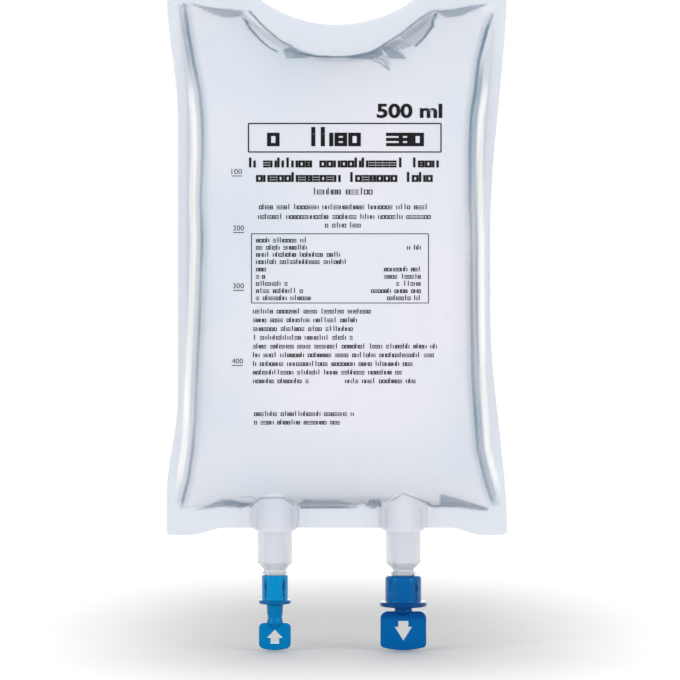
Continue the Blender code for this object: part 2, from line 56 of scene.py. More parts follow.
# Film and its hanging hole
FILM_THICK = 0.25 * MM
FILM_HALF_WIDTH = 64.6 * MM
TOP_BAND = 9.0 * MM
SIDE_WELD = 4.6 * MM
LEFT_DRAW_IN = 4.2 * MM
RIGHT_DRAW_IN = 6.4 * MM
BOTTOM_WELD = 9.0 * MM
CORNER_DROP = 2.8 * MM
CORNER_DROP_START = 22.0 * MM
CORNER_DROP_END = 9.0 * MM
CORNER_BLUNT = 0.8 * MM
HOLE_HALF_WIDTH = 31.0 * MM
HOLE_DEPTH = 19.5 * MM
HOLE_SIDE = 8.5 * MM
HOLE_CORNER_RADIUS = 3.0 * MM
HOLE_WELD = 12.2 * MM

# Filled chamber
CHAMBER_LENGTH = 190.2 * MM
DIP_DEPTH = 17.0 * MM
DIP_HALF_WIDTH = 36.5 * MM
CORNER_RISE = 3.4 * MM
CHAMBER_SAG = 1.5 * MM
HALF_THICK = 20.8 * MM
SECTION_POWER = 2.2
SECTION_FULLNESS = 0.62
LENGTH_POWER = 2.9
LENGTH_FULLNESS = 0.60
LOW_BELLY = 0.10

# Tubes of both ports
TUBE_RADIUS = 6.55 * MM
TUBE_WALL = 2.3 * MM
TUBE_CHAMFER = 1.9 * MM
TUBE_IN_CHAMBER = 2.7 * MM
TUBE_BELOW_FILM = 13.1 * MM
TUBE_SHOULDER = 2.5 * MM
NECK_LENGTH = 1.1 * MM
RIM_THICK = 0.9 * MM
WING_WIDTH = 3.0 * MM
FILM_SKIRT = 1.1 * MM
TENT_RISE = 9.0 * MM

# Caps of both ports
LIP_THICK = 1.0 * MM
COLLAR_FLOOR = 1.6 * MM
SEPTUM_THICK = 2.4 * MM
WEB_RECESS = 0.1 * MM
WEB_RECESS_MARGIN = 0.5 * MM
GRIP_GROOVES = 4
GRIP_HALF_WIDTH = 1.1 * MM
GRIP_DEPTH = 0.45 * MM
GRIP_MARGIN = 0.6 * MM
WALL_NEAR = 0.05 * MM
# Painted shade on the flange: from how far outside the collar, and how dark
FLANGE_SHADE_FROM = 0.3 * MM
FLANGE_SHADE = 0.7

# Heights and widths that follow from the sizes
DIP_Z = -(HOLE_DEPTH + HOLE_WELD)
SHOULDER_Z = DIP_Z + DIP_DEPTH
CORNER_Z = SHOULDER_Z + CORNER_RISE
CHAMBER_BOTTOM_Z = CORNER_Z - CHAMBER_LENGTH
FILM_BOTTOM_Z = CHAMBER_BOTTOM_Z - BOTTOM_WELD
TUBE_TOP_Z = CHAMBER_BOTTOM_Z + TUBE_IN_CHAMBER
TUBE_SHOULDER_Z = FILM_BOTTOM_Z - TUBE_BELOW_FILM
NECK_Z = TUBE_SHOULDER_Z - TUBE_SHOULDER
RIM_Z = NECK_Z - NECK_LENGTH
COLLAR_TOP_Z = RIM_Z - RIM_THICK - CLEAR
CHAMBER_HALF_WIDTH = FILM_HALF_WIDTH - SIDE_WELD
TUBE_BORE = TUBE_RADIUS - TUBE_WALL
SLEEVE_RADIUS = TUBE_RADIUS + CLEAR
SLEEVE_REACH = TUBE_RADIUS + WING_WIDTH
SLEEVE_TOUCH = SLEEVE_RADIUS**2 / SLEEVE_REACH
SKIRT_REACH = SLEEVE_RADIUS + 1.6 * MM

# Camera: one picture pixel covers this much of the weld plane, and the picture's middle looks at AIM
PIXEL = 0.38 * MM
PICTURE = 680
CAMERA_DISTANCE = 1.0
SENSOR = 36.0
AIM = Vector((1.14 * MM, 0.0, -139.2 * MM))
EYE = AIM - Vector((0.0, CAMERA_DISTANCE, 0.0))

# Fineness of the meshes
SEGMENTS = 96
COLUMN_SEGMENTS = 48
COLLAR_SEGMENTS = 160
FRONT_FINE = 1.0
BACK_FINE = 0.62
LIQUID_FINE = 0.5
LEAST_COLUMN = 0.12 * MM
HAIR = 1e-9
ON_AXIS = 1e-7
SAME_PLACE = 1e-6
FILLET_SHARE = 0.42
TUBE_FILLET = 0.45 * MM
CAP_FILLET = 0.3 * MM
WALL_STEP = 0.6 * MM
NEARLY_STRAIGHT = math.radians(160)
ROW_ZONE = 4.5 * MM
ZONE_HIGH = -47.0 * MM
ZONE_LOW = -184.0 * MM


def port_of(name, points_up, left_shade, **sizes):
    """One port: its own sizes, given in millimetres, and the heights that follow from them."""
    port = SimpleNamespace(name=name, points_up=points_up, left_shade=left_shade)
    for label, size in sizes.items():
        setattr(port, label, size * MM)
    port.flange_z = COLLAR_TOP_Z - port.collar_height
    port.bottom_z = port.flange_z - port.flange_thick
    port.septum_z = port.bottom_z + COLLAR_FLOOR + CLEAR
    port.plug_end_z = port.septum_z + SEPTUM_THICK + CLEAR
    port.plug_top_z = COLLAR_TOP_Z - LIP_THICK - CLEAR
    port.tab_z = port.bottom_z + WEB_RECESS - CLEAR
    port.blade_z = port.tab_z - port.stem_length - port.waist_length
    return port


INJECTION = port_of(
    "injection", points_up=True, left_shade=1.0, x=-23.6,
    neck=4.25, rim=4.6, throat=3.5, plug=3.8, bore=2.4,
    collar=4.95, collar_height=9.4, collar_rounding=0.4, flange=6.1, flange_thick=1.5, mouth=2.3,
    stem=3.15, stem_length=4.3, waist=2.75, waist_length=2.8,
    tab_width=12.1, tab_height=10.4, tab_thick=2.2, top_corner=1.9, low_corner=2.1, bow=0.5,
    head_width=5.9, head_height=3.0, shaft_width=3.3, shaft_height=2.2,
)
INFUSION = port_of(
    "infusion", points_up=False, left_shade=0.0, x=25.2,
    neck=3.95, rim=4.7, throat=3.9, plug=5.4, bore=2.9,
    collar=6.85, collar_height=10.1, collar_rounding=1.5, flange=8.95, flange_thick=1.8, mouth=3.2,
    stem=3.45, stem_length=0.8, waist=3.3, waist_length=0.9,
    tab_width=17.4, tab_height=14.8, tab_thick=2.6, top_corner=2.8, low_corner=1.6, bow=0.9,
    head_width=6.6, head_height=5.3, shaft_width=3.8, shaft_height=2.2,
)
PORTS = (INJECTION, INFUSION)


# Curves of the bag, for arrays of x and z on the flat film


def ramp(value, start, end):
    """0 at start and 1 at end, easing at both."""
    share = np.clip((np.asarray(value) - start) / (end - start), 0.0, 1.0)
    return share * share * (3 - 2 * share)


def drawn_in(x, z):
    """Where a point x of the flat film lies once the filled chamber has drawn its sides in."""
    depth = (CORNER_Z - z) / CHAMBER_LENGTH
    left = LEFT_DRAW_IN * ramp(depth, -0.02, 0.23) * ramp(depth, 0.98, 0.79)
    right = RIGHT_DRAW_IN * ramp(depth, -0.06, 0.46) * ramp(depth, 1.06, 0.62)
    return x - np.sign(x) * np.where(x < 0, left, right) * (x / FILM_HALF_WIDTH) ** 2


def chamber_top(x):
    """Height of the weld above the chamber: it dips under the hanging hole and rises to the corners."""
    across = np.abs(x)
    dip = SHOULDER_Z - DIP_DEPTH * (1 - (across / DIP_HALF_WIDTH) ** 2)
    outward = np.clip((across - DIP_HALF_WIDTH) / (CHAMBER_HALF_WIDTH - DIP_HALF_WIDTH), 0, 1)
    return np.where(across < DIP_HALF_WIDTH, dip, SHOULDER_Z + CORNER_RISE * outward)


def chamber_bottom(x):
    """Height of the weld below the chamber, which sags to the corners."""
    return CHAMBER_BOTTOM_Z - CHAMBER_SAG * (x / CHAMBER_HALF_WIDTH) ** 2


def film_bottom(x):
    """Height of the film's lower edge, which drops at the corners and laps a little way down the tubes."""
    drop = CORNER_DROP * ramp(FILM_HALF_WIDTH - np.abs(x), CORNER_DROP_START, CORNER_DROP_END)
    nearest = np.minimum(*(np.abs(x - port.x) for port in PORTS))
    return FILM_BOTTOM_Z - drop - FILM_SKIRT * ramp(nearest, SKIRT_REACH, SLEEVE_RADIUS)


def fullness(x, z):
    """Half thickness of the filled chamber at a point of the film as it lies flat."""
    share, top, bottom = np.abs(x) / CHAMBER_HALF_WIDTH, chamber_top(x), chamber_bottom(x)
    inside = (share < 1) & (z < top) & (z > bottom)
    along = np.clip(2 * (top - z) / (top - bottom) - 1, -1, 1)
    section = (1 - np.clip(share, 0, 1) ** SECTION_POWER) ** SECTION_FULLNESS
    length = (1 - np.abs(along) ** LENGTH_POWER) ** LENGTH_FULLNESS
    return np.where(inside, HALF_THICK * section * length * (1 + LOW_BELLY * along), 0.0)


def port_swell(x, z):
    """How far the film stands off the weld plane round a tube, and tents over its end."""
    most = np.zeros_like(x)
    fade = 1 - ramp(z, TUBE_TOP_Z + CLEAR, TUBE_TOP_Z + TENT_RISE)
    for port in PORTS:
        across = np.abs(x - port.x)
        round_part = np.sqrt(np.clip(SLEEVE_RADIUS**2 - across**2, 0, None))
        flank = math.sqrt(SLEEVE_RADIUS**2 - SLEEVE_TOUCH**2) / (SLEEVE_REACH - SLEEVE_TOUCH)
        wing = np.clip(SLEEVE_REACH - across, 0, None) * flank
        most = np.maximum(most, np.where(across <= SLEEVE_TOUCH, round_part, wing) * fade)
    return most


# Painted shade and painted highlights on the film, in picture pixels, where the photographed bag shows its
# folds


def on_bag(px, py):
    """A picture pixel as x and z in the weld plane."""
    return AIM.x + (px - PICTURE / 2) * PIXEL, AIM.z - (py - PICTURE / 2) * PIXEL


def share_along(x, z, start, end):
    """How far along the line from start to end every point lies, from 0 to 1."""
    run_x, run_z = end[0] - start[0], end[1] - start[1]
    share = ((x - start[0]) * run_x + (z - start[1]) * run_z) / (run_x**2 + run_z**2)
    return np.clip(share, 0, 1)


def to_edge(x, z, corners, closed=True):
    """Distance of every point to a line through the corners, and whether it lies inside."""
    inside = np.zeros(x.shape, bool)
    nearest = np.full(x.shape, np.inf)
    ends = corners[1:] + corners[:1] if closed else corners[1:]
    for (x1, z1), (x2, z2) in zip(corners, ends):
        run_x, run_z = x2 - x1, z2 - z1
        share = share_along(x, z, (x1, z1), (x2, z2))
        nearest = np.minimum(nearest, np.hypot(x - x1 - share * run_x, z - z1 - share * run_z))
        crosses = (z1 > z) != (z2 > z)
        at = x1 + (z - z1) * run_x / (run_z or HAIR)
        inside ^= crosses & (x < at)
    return nearest, inside


# Pressed-in faces of the film: how much painted shade or (below 0) painted highlight, what share of the
# fullness goes, and corners
FACETS = (
    (0.5, 0.08, ((191, 3), (213, 8), (231, 9), (245, 10.6), (241, 15), (231, 17), (222, 16), (207, 10.6))),
    (-0.1, 0.0, ((250, 14), (264, 28), (281, 42), (285, 52), (276, 51), (263, 42), (250, 27), (245, 19))),
    (0.52, 0.05, ((283, 50), (291, 46.6), (302, 52), (318, 56), (304, 58.5), (286, 59))),
    (0.6, 0.06, ((348, 56), (365, 53.5), (381, 48), (384, 55), (372, 60), (350, 59))),
    (0.3, 0.05, ((374, 58), (378, 54), (388, 56), (390, 66), (386, 64))),
    (0.66, 0.08, ((381, 47), (392, 49), (402, 53), (406, 59), (390, 59))),
    (0.42, 0.06, ((382, 45), (396, 40), (405, 41), (414, 45), (402, 50), (390, 48))),
    (0.32, 0.03, ((400, 36), (428, 13), (434, 16), (431, 27), (424, 37), (415, 45), (404, 41))),
    (0.56, 0.08, ((436, 10.6), (454, 9.4), (472, 5.3), (487, 4), (472, 11), (460, 16.5), (446, 17.7))),
    (0.5, 0.04, ((196, 510), (222, 499), (232, 499), (243, 502), (253, 502.5), (241, 508.5), (222, 507))),
    (0.8, 0.0, ((232, 501), (243, 503), (253, 503), (241, 508.5))),
    (0.7, 0.0, ((222, 501), (232, 500.5), (236, 504), (226, 505))),
    (0.5, 0.03, ((297, 505), (304, 499), (320, 500), (340, 500), (358, 504), (340, 507.5), (303, 508))),
    (0.6, 0.03, ((366, 505), (369, 499), (380, 499), (382, 505), (374, 507))),
    (0.6, 0.06, ((440, 494), (448, 495.5), (472, 502.5), (488, 508), (487, 510), (460, 507), (439, 506))),
)
FACET_SOFT = (-0.25 * MM, 0.25 * MM)
PRESS_SOFT = (-1.2 * MM, 0.8 * MM)

# Painted shade lines along folds: how dark, half width in millimetres at both ends, and points
CREASES = (
    (0.8, 0.45, 0.35, ((250, 12), (264, 27), (281, 41.5), (292, 46.5))),
    (0.95, 0.55, 0.25, ((245, 20), (250, 29), (260, 40), (268, 47), (277, 52))),
    (0.95, 0.35, 0.5, ((300, 54), (318, 57), (335, 57.3), (352, 57), (372, 53), (383, 46))),
    (0.85, 0.4, 0.3, ((383, 45), (401, 34), (418, 20), (430, 12), (440, 10.5))),
    (1.0, 0.6, 0.4, ((435, 15), (432, 27), (425, 37), (416, 46))),
    (0.75, 0.3, 0.3, ((373, 60), (380, 63), (389, 70))),
    (0.55, 0.3, 0.3, ((374, 57), (383, 60), (389, 69))),
    (0.65, 0.45, 0.4, ((382, 47), (396, 49), (405, 58))),
    (0.5, 0.2, 0.4, ((192, 4), (207, 11), (222, 16.5), (232, 17), (241, 15))),
    (0.55, 0.3, 0.2, ((436, 11), (446, 17), (460, 16), (472, 10.5), (486, 5))),
    (0.14, 0.2, 0.15, ((309, 33), (325, 39), (346, 41), (365, 35))),
    (0.4, 0.15, 0.4, ((194, 510), (210, 506), (222, 500))),
    (0.6, 0.3, 0.5, ((222, 499.5), (232, 501), (243, 505), (252, 506))),
    (0.3, 0.3, 0.3, ((240, 497), (250, 496), (258, 500))),
    (0.5, 0.25, 0.35, ((253, 504.5), (260, 498), (283, 497.5), (293, 504.5))),
    (1.0, 0.4, 0.3, ((301, 507), (325, 507.5), (357, 506.5))),
    (0.3, 0.3, 0.3, ((358, 505), (362, 500), (368, 505))),
    (0.7, 0.35, 0.3, ((367, 506), (374, 507.5), (382, 505.5))),
    (0.5, 0.3, 0.35, ((392, 501), (403, 493.5), (415, 498), (428, 502.5))),
    (0.9, 0.35, 0.5, ((428, 503), (431, 506), (440, 506))),
    (0.65, 0.3, 0.35, ((440, 494), (440, 506))),
    (0.5, 0.4, 0.25, ((440, 495), (460, 500), (488, 509))),
    (0.8, 0.4, 0.3, ((440, 506), (460, 507), (487, 509.5))),
    (0.14, 0.4, 0.4, ((258.5, 509), (257.5, 529))),
    (0.14, 0.4, 0.4, ((291.5, 509), (292, 529))),
    (0.16, 0.35, 0.3, ((297, 503), (298, 516), (296, 528))),
    (0.16, 0.4, 0.4, ((386.5, 509), (386.5, 529))),
    (0.14, 0.4, 0.4, ((420.5, 509), (421, 529))),
    (0.12, 0.35, 0.3, ((382, 505), (381, 528))),
)

# Painted shade line inside each side weld, as (pixel, row), and how dark it is there
LEFT_LINE = (
    (184.5, 4, 0.55), (188, 30, 0.9), (193.5, 60, 0.85), (199.7, 90, 0.65), (202.6, 118, 0.65),
    (203, 150, 0.6), (201, 200, 0.55), (202.5, 240, 0.72), (201, 280, 0.52), (199.5, 330, 0.62),
    (197, 380, 0.52), (195.5, 420, 0.46), (193, 450, 0.66), (188.5, 480, 0.66), (183, 500, 0.75),
    (181.5, 508, 0.2),
)
RIGHT_LINE = (
    (493, 12, 0.3), (486.5, 30, 1.0), (478.5, 60, 0.92), (475, 90, 0.95), (470.7, 118, 0.9),
    (469.7, 150, 0.85), (469.7, 200, 0.7), (471, 240, 0.5), (471, 280, 0.7), (471.5, 330, 0.7),
    (472.5, 380, 0.7), (475.5, 420, 0.85), (477.7, 450, 0.72), (485, 480, 0.7), (491.5, 500, 0.65),
    (494, 506, 0.2),
)


def between(z, first, last):
    """A ramp over the heights between two rows of the picture."""
    return ramp(z, on_bag(0, first)[1], on_bag(0, last)[1])


def side_line(x, z, line, outward):
    """Painted shade of the line inside a side weld, and the painted highlight of the bright strip outside
    it, by limits in millimetres.
    """
    places, heights = np.array([on_bag(px, py) for px, py, _ in line]).T
    depths = [dark for _, _, dark in line]
    centre = np.interp(-z, -heights, places)
    dark = np.interp(-z, -heights, depths, left=0, right=0)
    off = (x - centre) * outward / MM
    # Painted shade: a dark core and a softer tail along the line, and a paler band towards the weld
    core = ramp(off, 1.0, 0.3) * ramp(off, -1.1, -0.25)
    tail = ramp(off, 0.4, 0.0) * ramp(off, -3.4, -0.6) * 0.36
    lower = between(z, 48, 84)
    band = 0.55 * lower if outward > 0 else 0.5 - 0.32 * lower
    tone = ramp(off, 2.7, 1.9) * ramp(off, -0.4, 0.4) * band
    painted_shade = dark * np.maximum(np.maximum(core, tail), tone)
    near, far = (3.1, 4.8) if outward > 0 else (2.3, 4.3)
    # Painted highlight: the bright strip outside the line
    painted_highlight = ramp(off, near - 0.7, near + 0.1) * ramp(off, far + 0.5, far - 0.4)
    return painted_shade, painted_highlight * between(z, 72, 104) * between(z, 500, 462)


def facet_share(x, z, corners, soft):
    """A ramp from outside a facet to its inside, between two distances from its edge."""
    distance, inside = to_edge(x, z, [on_bag(*corner) for corner in corners])
    return ramp(np.where(inside, distance, -distance), *soft)


def marks(x, z):
    """Painted shade and painted highlight for every point of the film, with x where the drawn-in film lies.
    """
    painted_shade, painted_highlight = side_line(x, z, LEFT_LINE, -1)
    right_painted_shade, right_painted_highlight = side_line(x, z, RIGHT_LINE, 1)
    painted_shade, painted_highlight = np.maximum(painted_shade, right_painted_shade), np.maximum(painted_highlight, right_painted_highlight)
    # Pressed-in faces take painted shade, or painted highlight below 0; creases take painted shade lines
    for dark, _, corners in FACETS:
        share = dark * facet_share(x, z, corners, FACET_SOFT)
        painted_shade, painted_highlight = np.maximum(painted_shade, share), np.maximum(painted_highlight, -share)
    for dark, start, end, line in CREASES:
        points = [on_bag(*point) for point in line]
        distance, _ = to_edge(x, z, points, closed=False)
        width = (start + (end - start) * share_along(x, z, points[0], points[-1])) * MM
        painted_shade = np.maximum(painted_shade, dark * ramp(distance, width * 1.5, width * 0.3))
    return painted_shade, painted_highlight


def pressed(x, z):
    """What share of its fullness the film keeps where its facets are pressed in."""
    kept = np.ones_like(x)
    for _, press, corners in FACETS:
        kept *= 1 - press * facet_share(x, z, corners, PRESS_SOFT)
    return kept


# Grid of the film


def film_columns(fine):
    """Places across the flat film, closer together at the side welds and round the tubes."""
    base = np.linspace(-FILM_HALF_WIDTH, FILM_HALF_WIDTH, int(124 * fine) + 1)
    edge = np.linspace(0.82, 1.0, int(22 * fine)) * CHAMBER_HALF_WIDTH
    round_tube = SLEEVE_REACH * np.sin(np.linspace(-math.pi / 2, math.pi / 2, int(44 * fine) + 1))
    places = np.unique(np.concatenate([base, edge, -edge, *(port.x + round_tube for port in PORTS)]))
    keep = [places[0]]
    for place in places[1:]:
        if place - keep[-1] > LEAST_COLUMN:
            keep.append(place)
        elif place == FILM_HALF_WIDTH:
            keep[-1] = place
    return np.array(keep)


def film_rows(x, fine):
    """Heights of every row, one array over the columns each, from the top edge to the bottom edge."""
    top, low, bottom = chamber_top(x), chamber_bottom(x), film_bottom(x)
    stretches = (
        (TOP_BAND, top + ROW_ZONE, 6),
        (top + ROW_ZONE, top, 9),
        (top, ZONE_HIGH, 56),
        (ZONE_HIGH, ZONE_LOW, 36),
        (ZONE_LOW, low, 46),
        (low, bottom, 14),
    )
    rows = []
    for start, end, steps in stretches:
        steps = int(steps * fine)
        for step in range(steps):
            rows.append(np.broadcast_to(start + (end - start) * step / steps, x.shape))
    return np.array([*rows, bottom])


def as_seen(x, z, half):
    """Where the camera sees points of the film that stand off the weld plane, as x and z in that plane."""
    nearer = CAMERA_DISTANCE / (CAMERA_DISTANCE - half)
    return AIM.x + (x - AIM.x) * nearer, AIM.z + (z - AIM.z) * nearer


def film_grid(fine):
    """Places, heights and half thickness of the film's inner face, and its share of weld, as arrays."""
    columns = film_columns(fine)
    z = film_rows(columns, fine)
    flat = np.broadcast_to(columns, z.shape)
    x = drawn_in(flat, z)
    plain = fullness(flat, z)
    half = np.maximum(plain * pressed(*as_seen(x, z, plain)), port_swell(flat, z))
    weld = ramp(half, 1.2 * MM, 0.1 * MM)
    for row, inward in ((0, -CORNER_BLUNT), (-1, CORNER_BLUNT)):
        for column in (0, -1):
            x[row, column] -= np.sign(x[row, column]) * CORNER_BLUNT
            z[row, column] += inward
    return flat, x, z, half, weld


def grid_quads(shape):
    """Numbers of the four points of every square of a grid, by row and column."""
    index = np.arange(shape[0] * shape[1]).reshape(shape)
    return np.stack([index[:-1, :-1], index[:-1, 1:], index[1:, 1:], index[1:, :-1]], axis=-1)


# Meshes


def new_object(name, data):
    """A new object of the scene."""
    obj = bpy.data.objects.new(name, data)
    bpy.context.scene.collection.objects.link(obj)
    return obj


def object_from(work, name, finish=None, place=(0, 0, 0)):
    """A new object with what the bmesh holds, its place put into the mesh."""
    mesh = bpy.data.meshes.new(name)
    work.to_mesh(mesh)
    work.free()
    mesh.transform(Matrix.Translation(place))
    if finish:
        mesh.materials.append(finish)
    return new_object(name, mesh)


def modified(obj, kind, **settings):
    """Gives the object a modifier of that kind, which it returns."""
    modifier = obj.modifiers.new(kind.title(), kind)
    for label, value in settings.items():
        setattr(modifier, label, value)
    return modifier


def evaluated(obj):
    """A new mesh of what the object's modifiers or its curve make."""
    deps = bpy.context.evaluated_depsgraph_get()
    return bpy.data.meshes.new_from_object(obj.evaluated_get(deps), depsgraph=deps)


def applied(obj):
    """The object with its modifiers made real."""
    mesh, old = evaluated(obj), obj.data
    obj.modifiers.clear()
    obj.data = mesh
    bpy.data.meshes.remove(old)
    mesh.name = obj.name
    return obj


def boolean(obj, other, operation):
    """Joins or cuts the object with a helper, which is then removed."""
    modified(obj, "BOOLEAN", operation=operation, object=other)
    applied(obj)
    bpy.data.objects.remove(other, do_unlink=True)


def smooth(obj, angle=40):
    """The object with smooth shading, apart from edges that bend by more than the angle."""
    obj.data.shade_smooth()
    obj.data.set_sharp_from_angle(angle=math.radians(angle))
    return obj


def filleted(profile, radius, steps=4):
    """The closed profile of (radius, z) with its corners off the axis rounded."""
    made = []
    for i, corner in enumerate(profile):
        here = Vector(corner)
        back, ahead = Vector(profile[i - 1]) - here, Vector(profile[(i + 1) % len(profile)]) - here
        bend = back.angle(ahead)
        if here.x < ON_AXIS or bend > NEARLY_STRAIGHT:
            made.append(tuple(here))
            continue
        reach = min(radius / math.tan(bend / 2), back.length * FILLET_SHARE, ahead.length * FILLET_SHARE)
        start, end = here + back.normalized() * reach, here + ahead.normalized() * reach
        for step in range(steps + 1):
            t = step / steps
            made.append(tuple(start * (1 - t) ** 2 + here * 2 * t * (1 - t) + end * t**2))
    return made


def finely(profile, longest):
    """The closed profile with its long edges divided."""
    made = []
    for start, end in zip(profile, profile[1:] + profile[:1]):
        parts = max(1, math.ceil(math.dist(start, end) / longest))
        for part in range(parts):
            share = part / parts
            made.append(tuple(a + (b - a) * share for a, b in zip(start, end)))
    return made


def turned(name, profile, x, finish=None, segments=SEGMENTS, turn=0.0):
    """A closed profile of (radius, z) turned about the vertical axis through x."""
    work = bmesh.new()
    verts = [work.verts.new((radius, 0, z)) for radius, z in profile]
    edges = [work.edges.new(pair) for pair in zip(verts, verts[1:] + verts[:1])]
    around = {"axis": (0, 0, 1), "cent": (0, 0, 0), "angle": math.tau}
    bmesh.ops.spin(work, geom=[*verts, *edges], steps=segments, use_merge=True, **around)
    bmesh.ops.remove_doubles(work, verts=work.verts, dist=SAME_PLACE)
    bmesh.ops.recalc_face_normals(work, faces=work.faces)
    bmesh.ops.rotate(work, verts=work.verts, cent=(0, 0, 0), matrix=Matrix.Rotation(turn, 3, "Z"))
    return object_from(work, name, finish, (x, 0, 0))


def extruded(name, corners, vector, place):
    """A flat face of the given corners, pushed along the vector into a closed solid."""
    work = bmesh.new()
    face = work.faces.new([work.verts.new(corner) for corner in corners])
    pushed = bmesh.ops.extrude_face_region(work, geom=[face])
    moved = [v for v in pushed["geom"] if isinstance(v, bmesh.types.BMVert)]
    bmesh.ops.translate(work, vec=vector, verts=moved)
    bmesh.ops.recalc_face_normals(work, faces=work.faces)
    return object_from(work, name, place=place)


def plate(name, outline, thick, x=0.0, z=0.0):
    """An outline in x and z, extruded evenly to both sides of y = 0."""
    corners = [(px, -thick / 2, pz) for px, pz in outline]
    return extruded(name, corners, (0, thick, 0), (x, 0, z))


def arc(centre, radius, first, last, steps):
    """Points on a circle from one angle to another, in degrees."""
    turns = (math.radians(first + (last - first) * i / steps) for i in range(steps + 1))
    return [(centre[0] + radius * math.cos(t), centre[1] + radius * math.sin(t)) for t in turns]


# Node trees


def shade(*levels):
    """A colour as a screen shows it, made linear."""
    shares = (level / 255 for level in levels)
    return tuple(v / 12.92 if v <= 0.04045 else ((v + 0.055) / 1.055) ** 2.4 for v in shares)


def fill(tree, node, values):
    """Links a node's inputs to sockets, or sets them to plain numbers and colours."""
    for label, value in values.items():
        if isinstance(value, bpy.types.NodeSocket):
            tree.links.new(value, node.inputs[label])
        else:
            node.inputs[label].default_value = (*value, 1.0) if isinstance(value, tuple) else value


def placed(tree, kind, values, **settings):
    """A new node with its settings made and its inputs filled."""
    node = tree.nodes.new(kind)
    for label, value in settings.items():
        setattr(node, label, value)
    fill(tree, node, values)
    return node


def group_tree(name, inputs, outputs, kind="ShaderNodeTree"):
    """An empty group with named sockets, and its two end nodes."""
    tree = bpy.data.node_groups.new(name, kind)
    kinds = {tuple: "NodeSocketColor", float: "NodeSocketFloat", int: "NodeSocketInt"}
    for label, value in inputs.items():
        socket = tree.interface.new_socket(label, in_out="INPUT", socket_type=kinds[type(value)])
        socket.default_value = (*value, 1.0) if isinstance(value, tuple) else value
    for label, kind in outputs.items():
        tree.interface.new_socket(label, in_out="OUTPUT", socket_type=f"NodeSocket{kind}")
    return tree, tree.nodes.new("NodeGroupInput"), tree.nodes.new("NodeGroupOutput")


def mixed(tree, share, first, second):
    """A colour mix node's result, from sockets or plain colours."""
    return placed(tree, "ShaderNodeMix", {0: share, 6: first, 7: second}, data_type="RGBA").outputs[2]


def sums(tree, operation, first, second=0.0, clamp=False):
    """A maths node's result, from sockets or plain numbers."""
    values = {0: first, 1: second}
    return placed(tree, "ShaderNodeMath", values, operation=operation, use_clamp=clamp).outputs[0]


def times(tree, first, second):
    return sums(tree, "MULTIPLY", first, second)


def eased(tree, value, limits):
    """0 at the first limit and 1 at the second, easing at both."""
    values = {"Value": value, "From Min": limits[0], "From Max": limits[1]}
    return placed(tree, "ShaderNodeMapRange", values, interpolation_type="SMOOTHSTEP").outputs["Result"]


def object_place(tree):
    return tree.nodes.new("ShaderNodeTexCoord").outputs["Object"]


def object_axes(tree):
    """The place on the object as separate X, Y and Z."""
    return placed(tree, "ShaderNodeSeparateXYZ", {0: object_place(tree)}).outputs


def noise(tree, place, scale, detail=2.0):
    values = {"Vector": place, "Scale": scale, "Detail": detail}
    return placed(tree, "ShaderNodeTexNoise", values).outputs["Fac"]


def grained(tree, start, end, place, scale, spread):
    """Gives a group's roughness a fine grain, and returns the grain."""
    grain = noise(tree, place, scale)
    change = times(tree, sums(tree, "SUBTRACT", grain, 0.5), spread)
    fill(tree, end, {"Roughness": sums(tree, "ADD", start.outputs["Roughness"], change)})
    return grain


def film_tint_group():
    """Colour and roughness of the film from its painted marks: the fluid behind it, the weld, painted shade
    at folds and painted highlights.
    """
    inputs = {
        "Fluid": shade(226, 225, 233),
        "Fluid Shadow": shade(204, 217, 226),
        "Weld": shade(212, 217, 225),
        "Painted Highlight Colour": WHITE,
        "Painted Shade Colour": shade(8, 88, 120),
        **dict.fromkeys(("Painted Shade", "Painted Highlight", "Weld Share"), 0.0),
        "Cloud Scale": 16.0,
        "Roughness": 0.38,
    }
    tree, start, end = group_tree("film_tint", inputs, {"Color": "Color", "Roughness": "Float"})
    given, place = start.outputs, object_place(tree)
    cloud = sums(tree, "SUBTRACT", noise(tree, place, given["Cloud Scale"], 1.0), 0.35)
    colour = mixed(tree, sums(tree, "MULTIPLY", cloud, 2.2, True), given["Fluid"], given["Fluid Shadow"])
    # Over the fluid: the weld's own colour, then painted highlights, then painted shade
    for share, tone in (("Weld Share", "Weld"), ("Painted Highlight", "Painted Highlight Colour"), ("Painted Shade", "Painted Shade Colour")):
        colour = mixed(tree, given[share], colour, given[tone])
    fill(tree, end, {"Color": colour})
    grained(tree, start, end, place, 900.0, 0.12)
    return tree


def moulding_group():
    """Colour, roughness and fine relief of moulded plastic, with a random flow tone, and recesses a little
    darker by painted shade.
    """
    inputs = {"Colour": (0.5, 0.5, 0.5), "Flow And Shade Colour": (0.3, 0.3, 0.3), "Recess Shade": 0.0}
    inputs |= {"Roughness": 0.3, "Flow Scale": 180.0, "Flow": 0.3}
    outputs = {"Color": "Color", "Roughness": "Float", "Relief": "Float"}
    tree, start, end = group_tree("moulded_plastic", inputs, outputs)
    given, place = start.outputs, object_place(tree)
    colour = given["Colour"]
    flow = times(tree, noise(tree, place, given["Flow Scale"], 3.0), given["Flow"])
    for share in (flow, given["Recess Shade"]):
        colour = mixed(tree, share, colour, given["Flow And Shade Colour"])
    fill(tree, end, {"Color": colour, "Relief": grained(tree, start, end, place, 1600.0, 0.1)})
    return tree


# Colours of the two caps in screen levels, each with its colour for moulding flow and painted shade: collar,
# tab, and the heights over which painted shade darkens the tab towards its top
CAPS = (
    ("light_blue", ((0, 124, 174), (0, 62, 118)), ((0, 104, 156), (0, 78, 138)), None),
    (
        "dark_blue",
        ((0, 81, 141), (0, 32, 88)),
        ((0, 82, 142), (0, 58, 120)),
        # Painted shade darkens the dark tab between these heights
        (INFUSION.blade_z - 4.2 * MM, INFUSION.blade_z - 1.2 * MM),
    ),
)

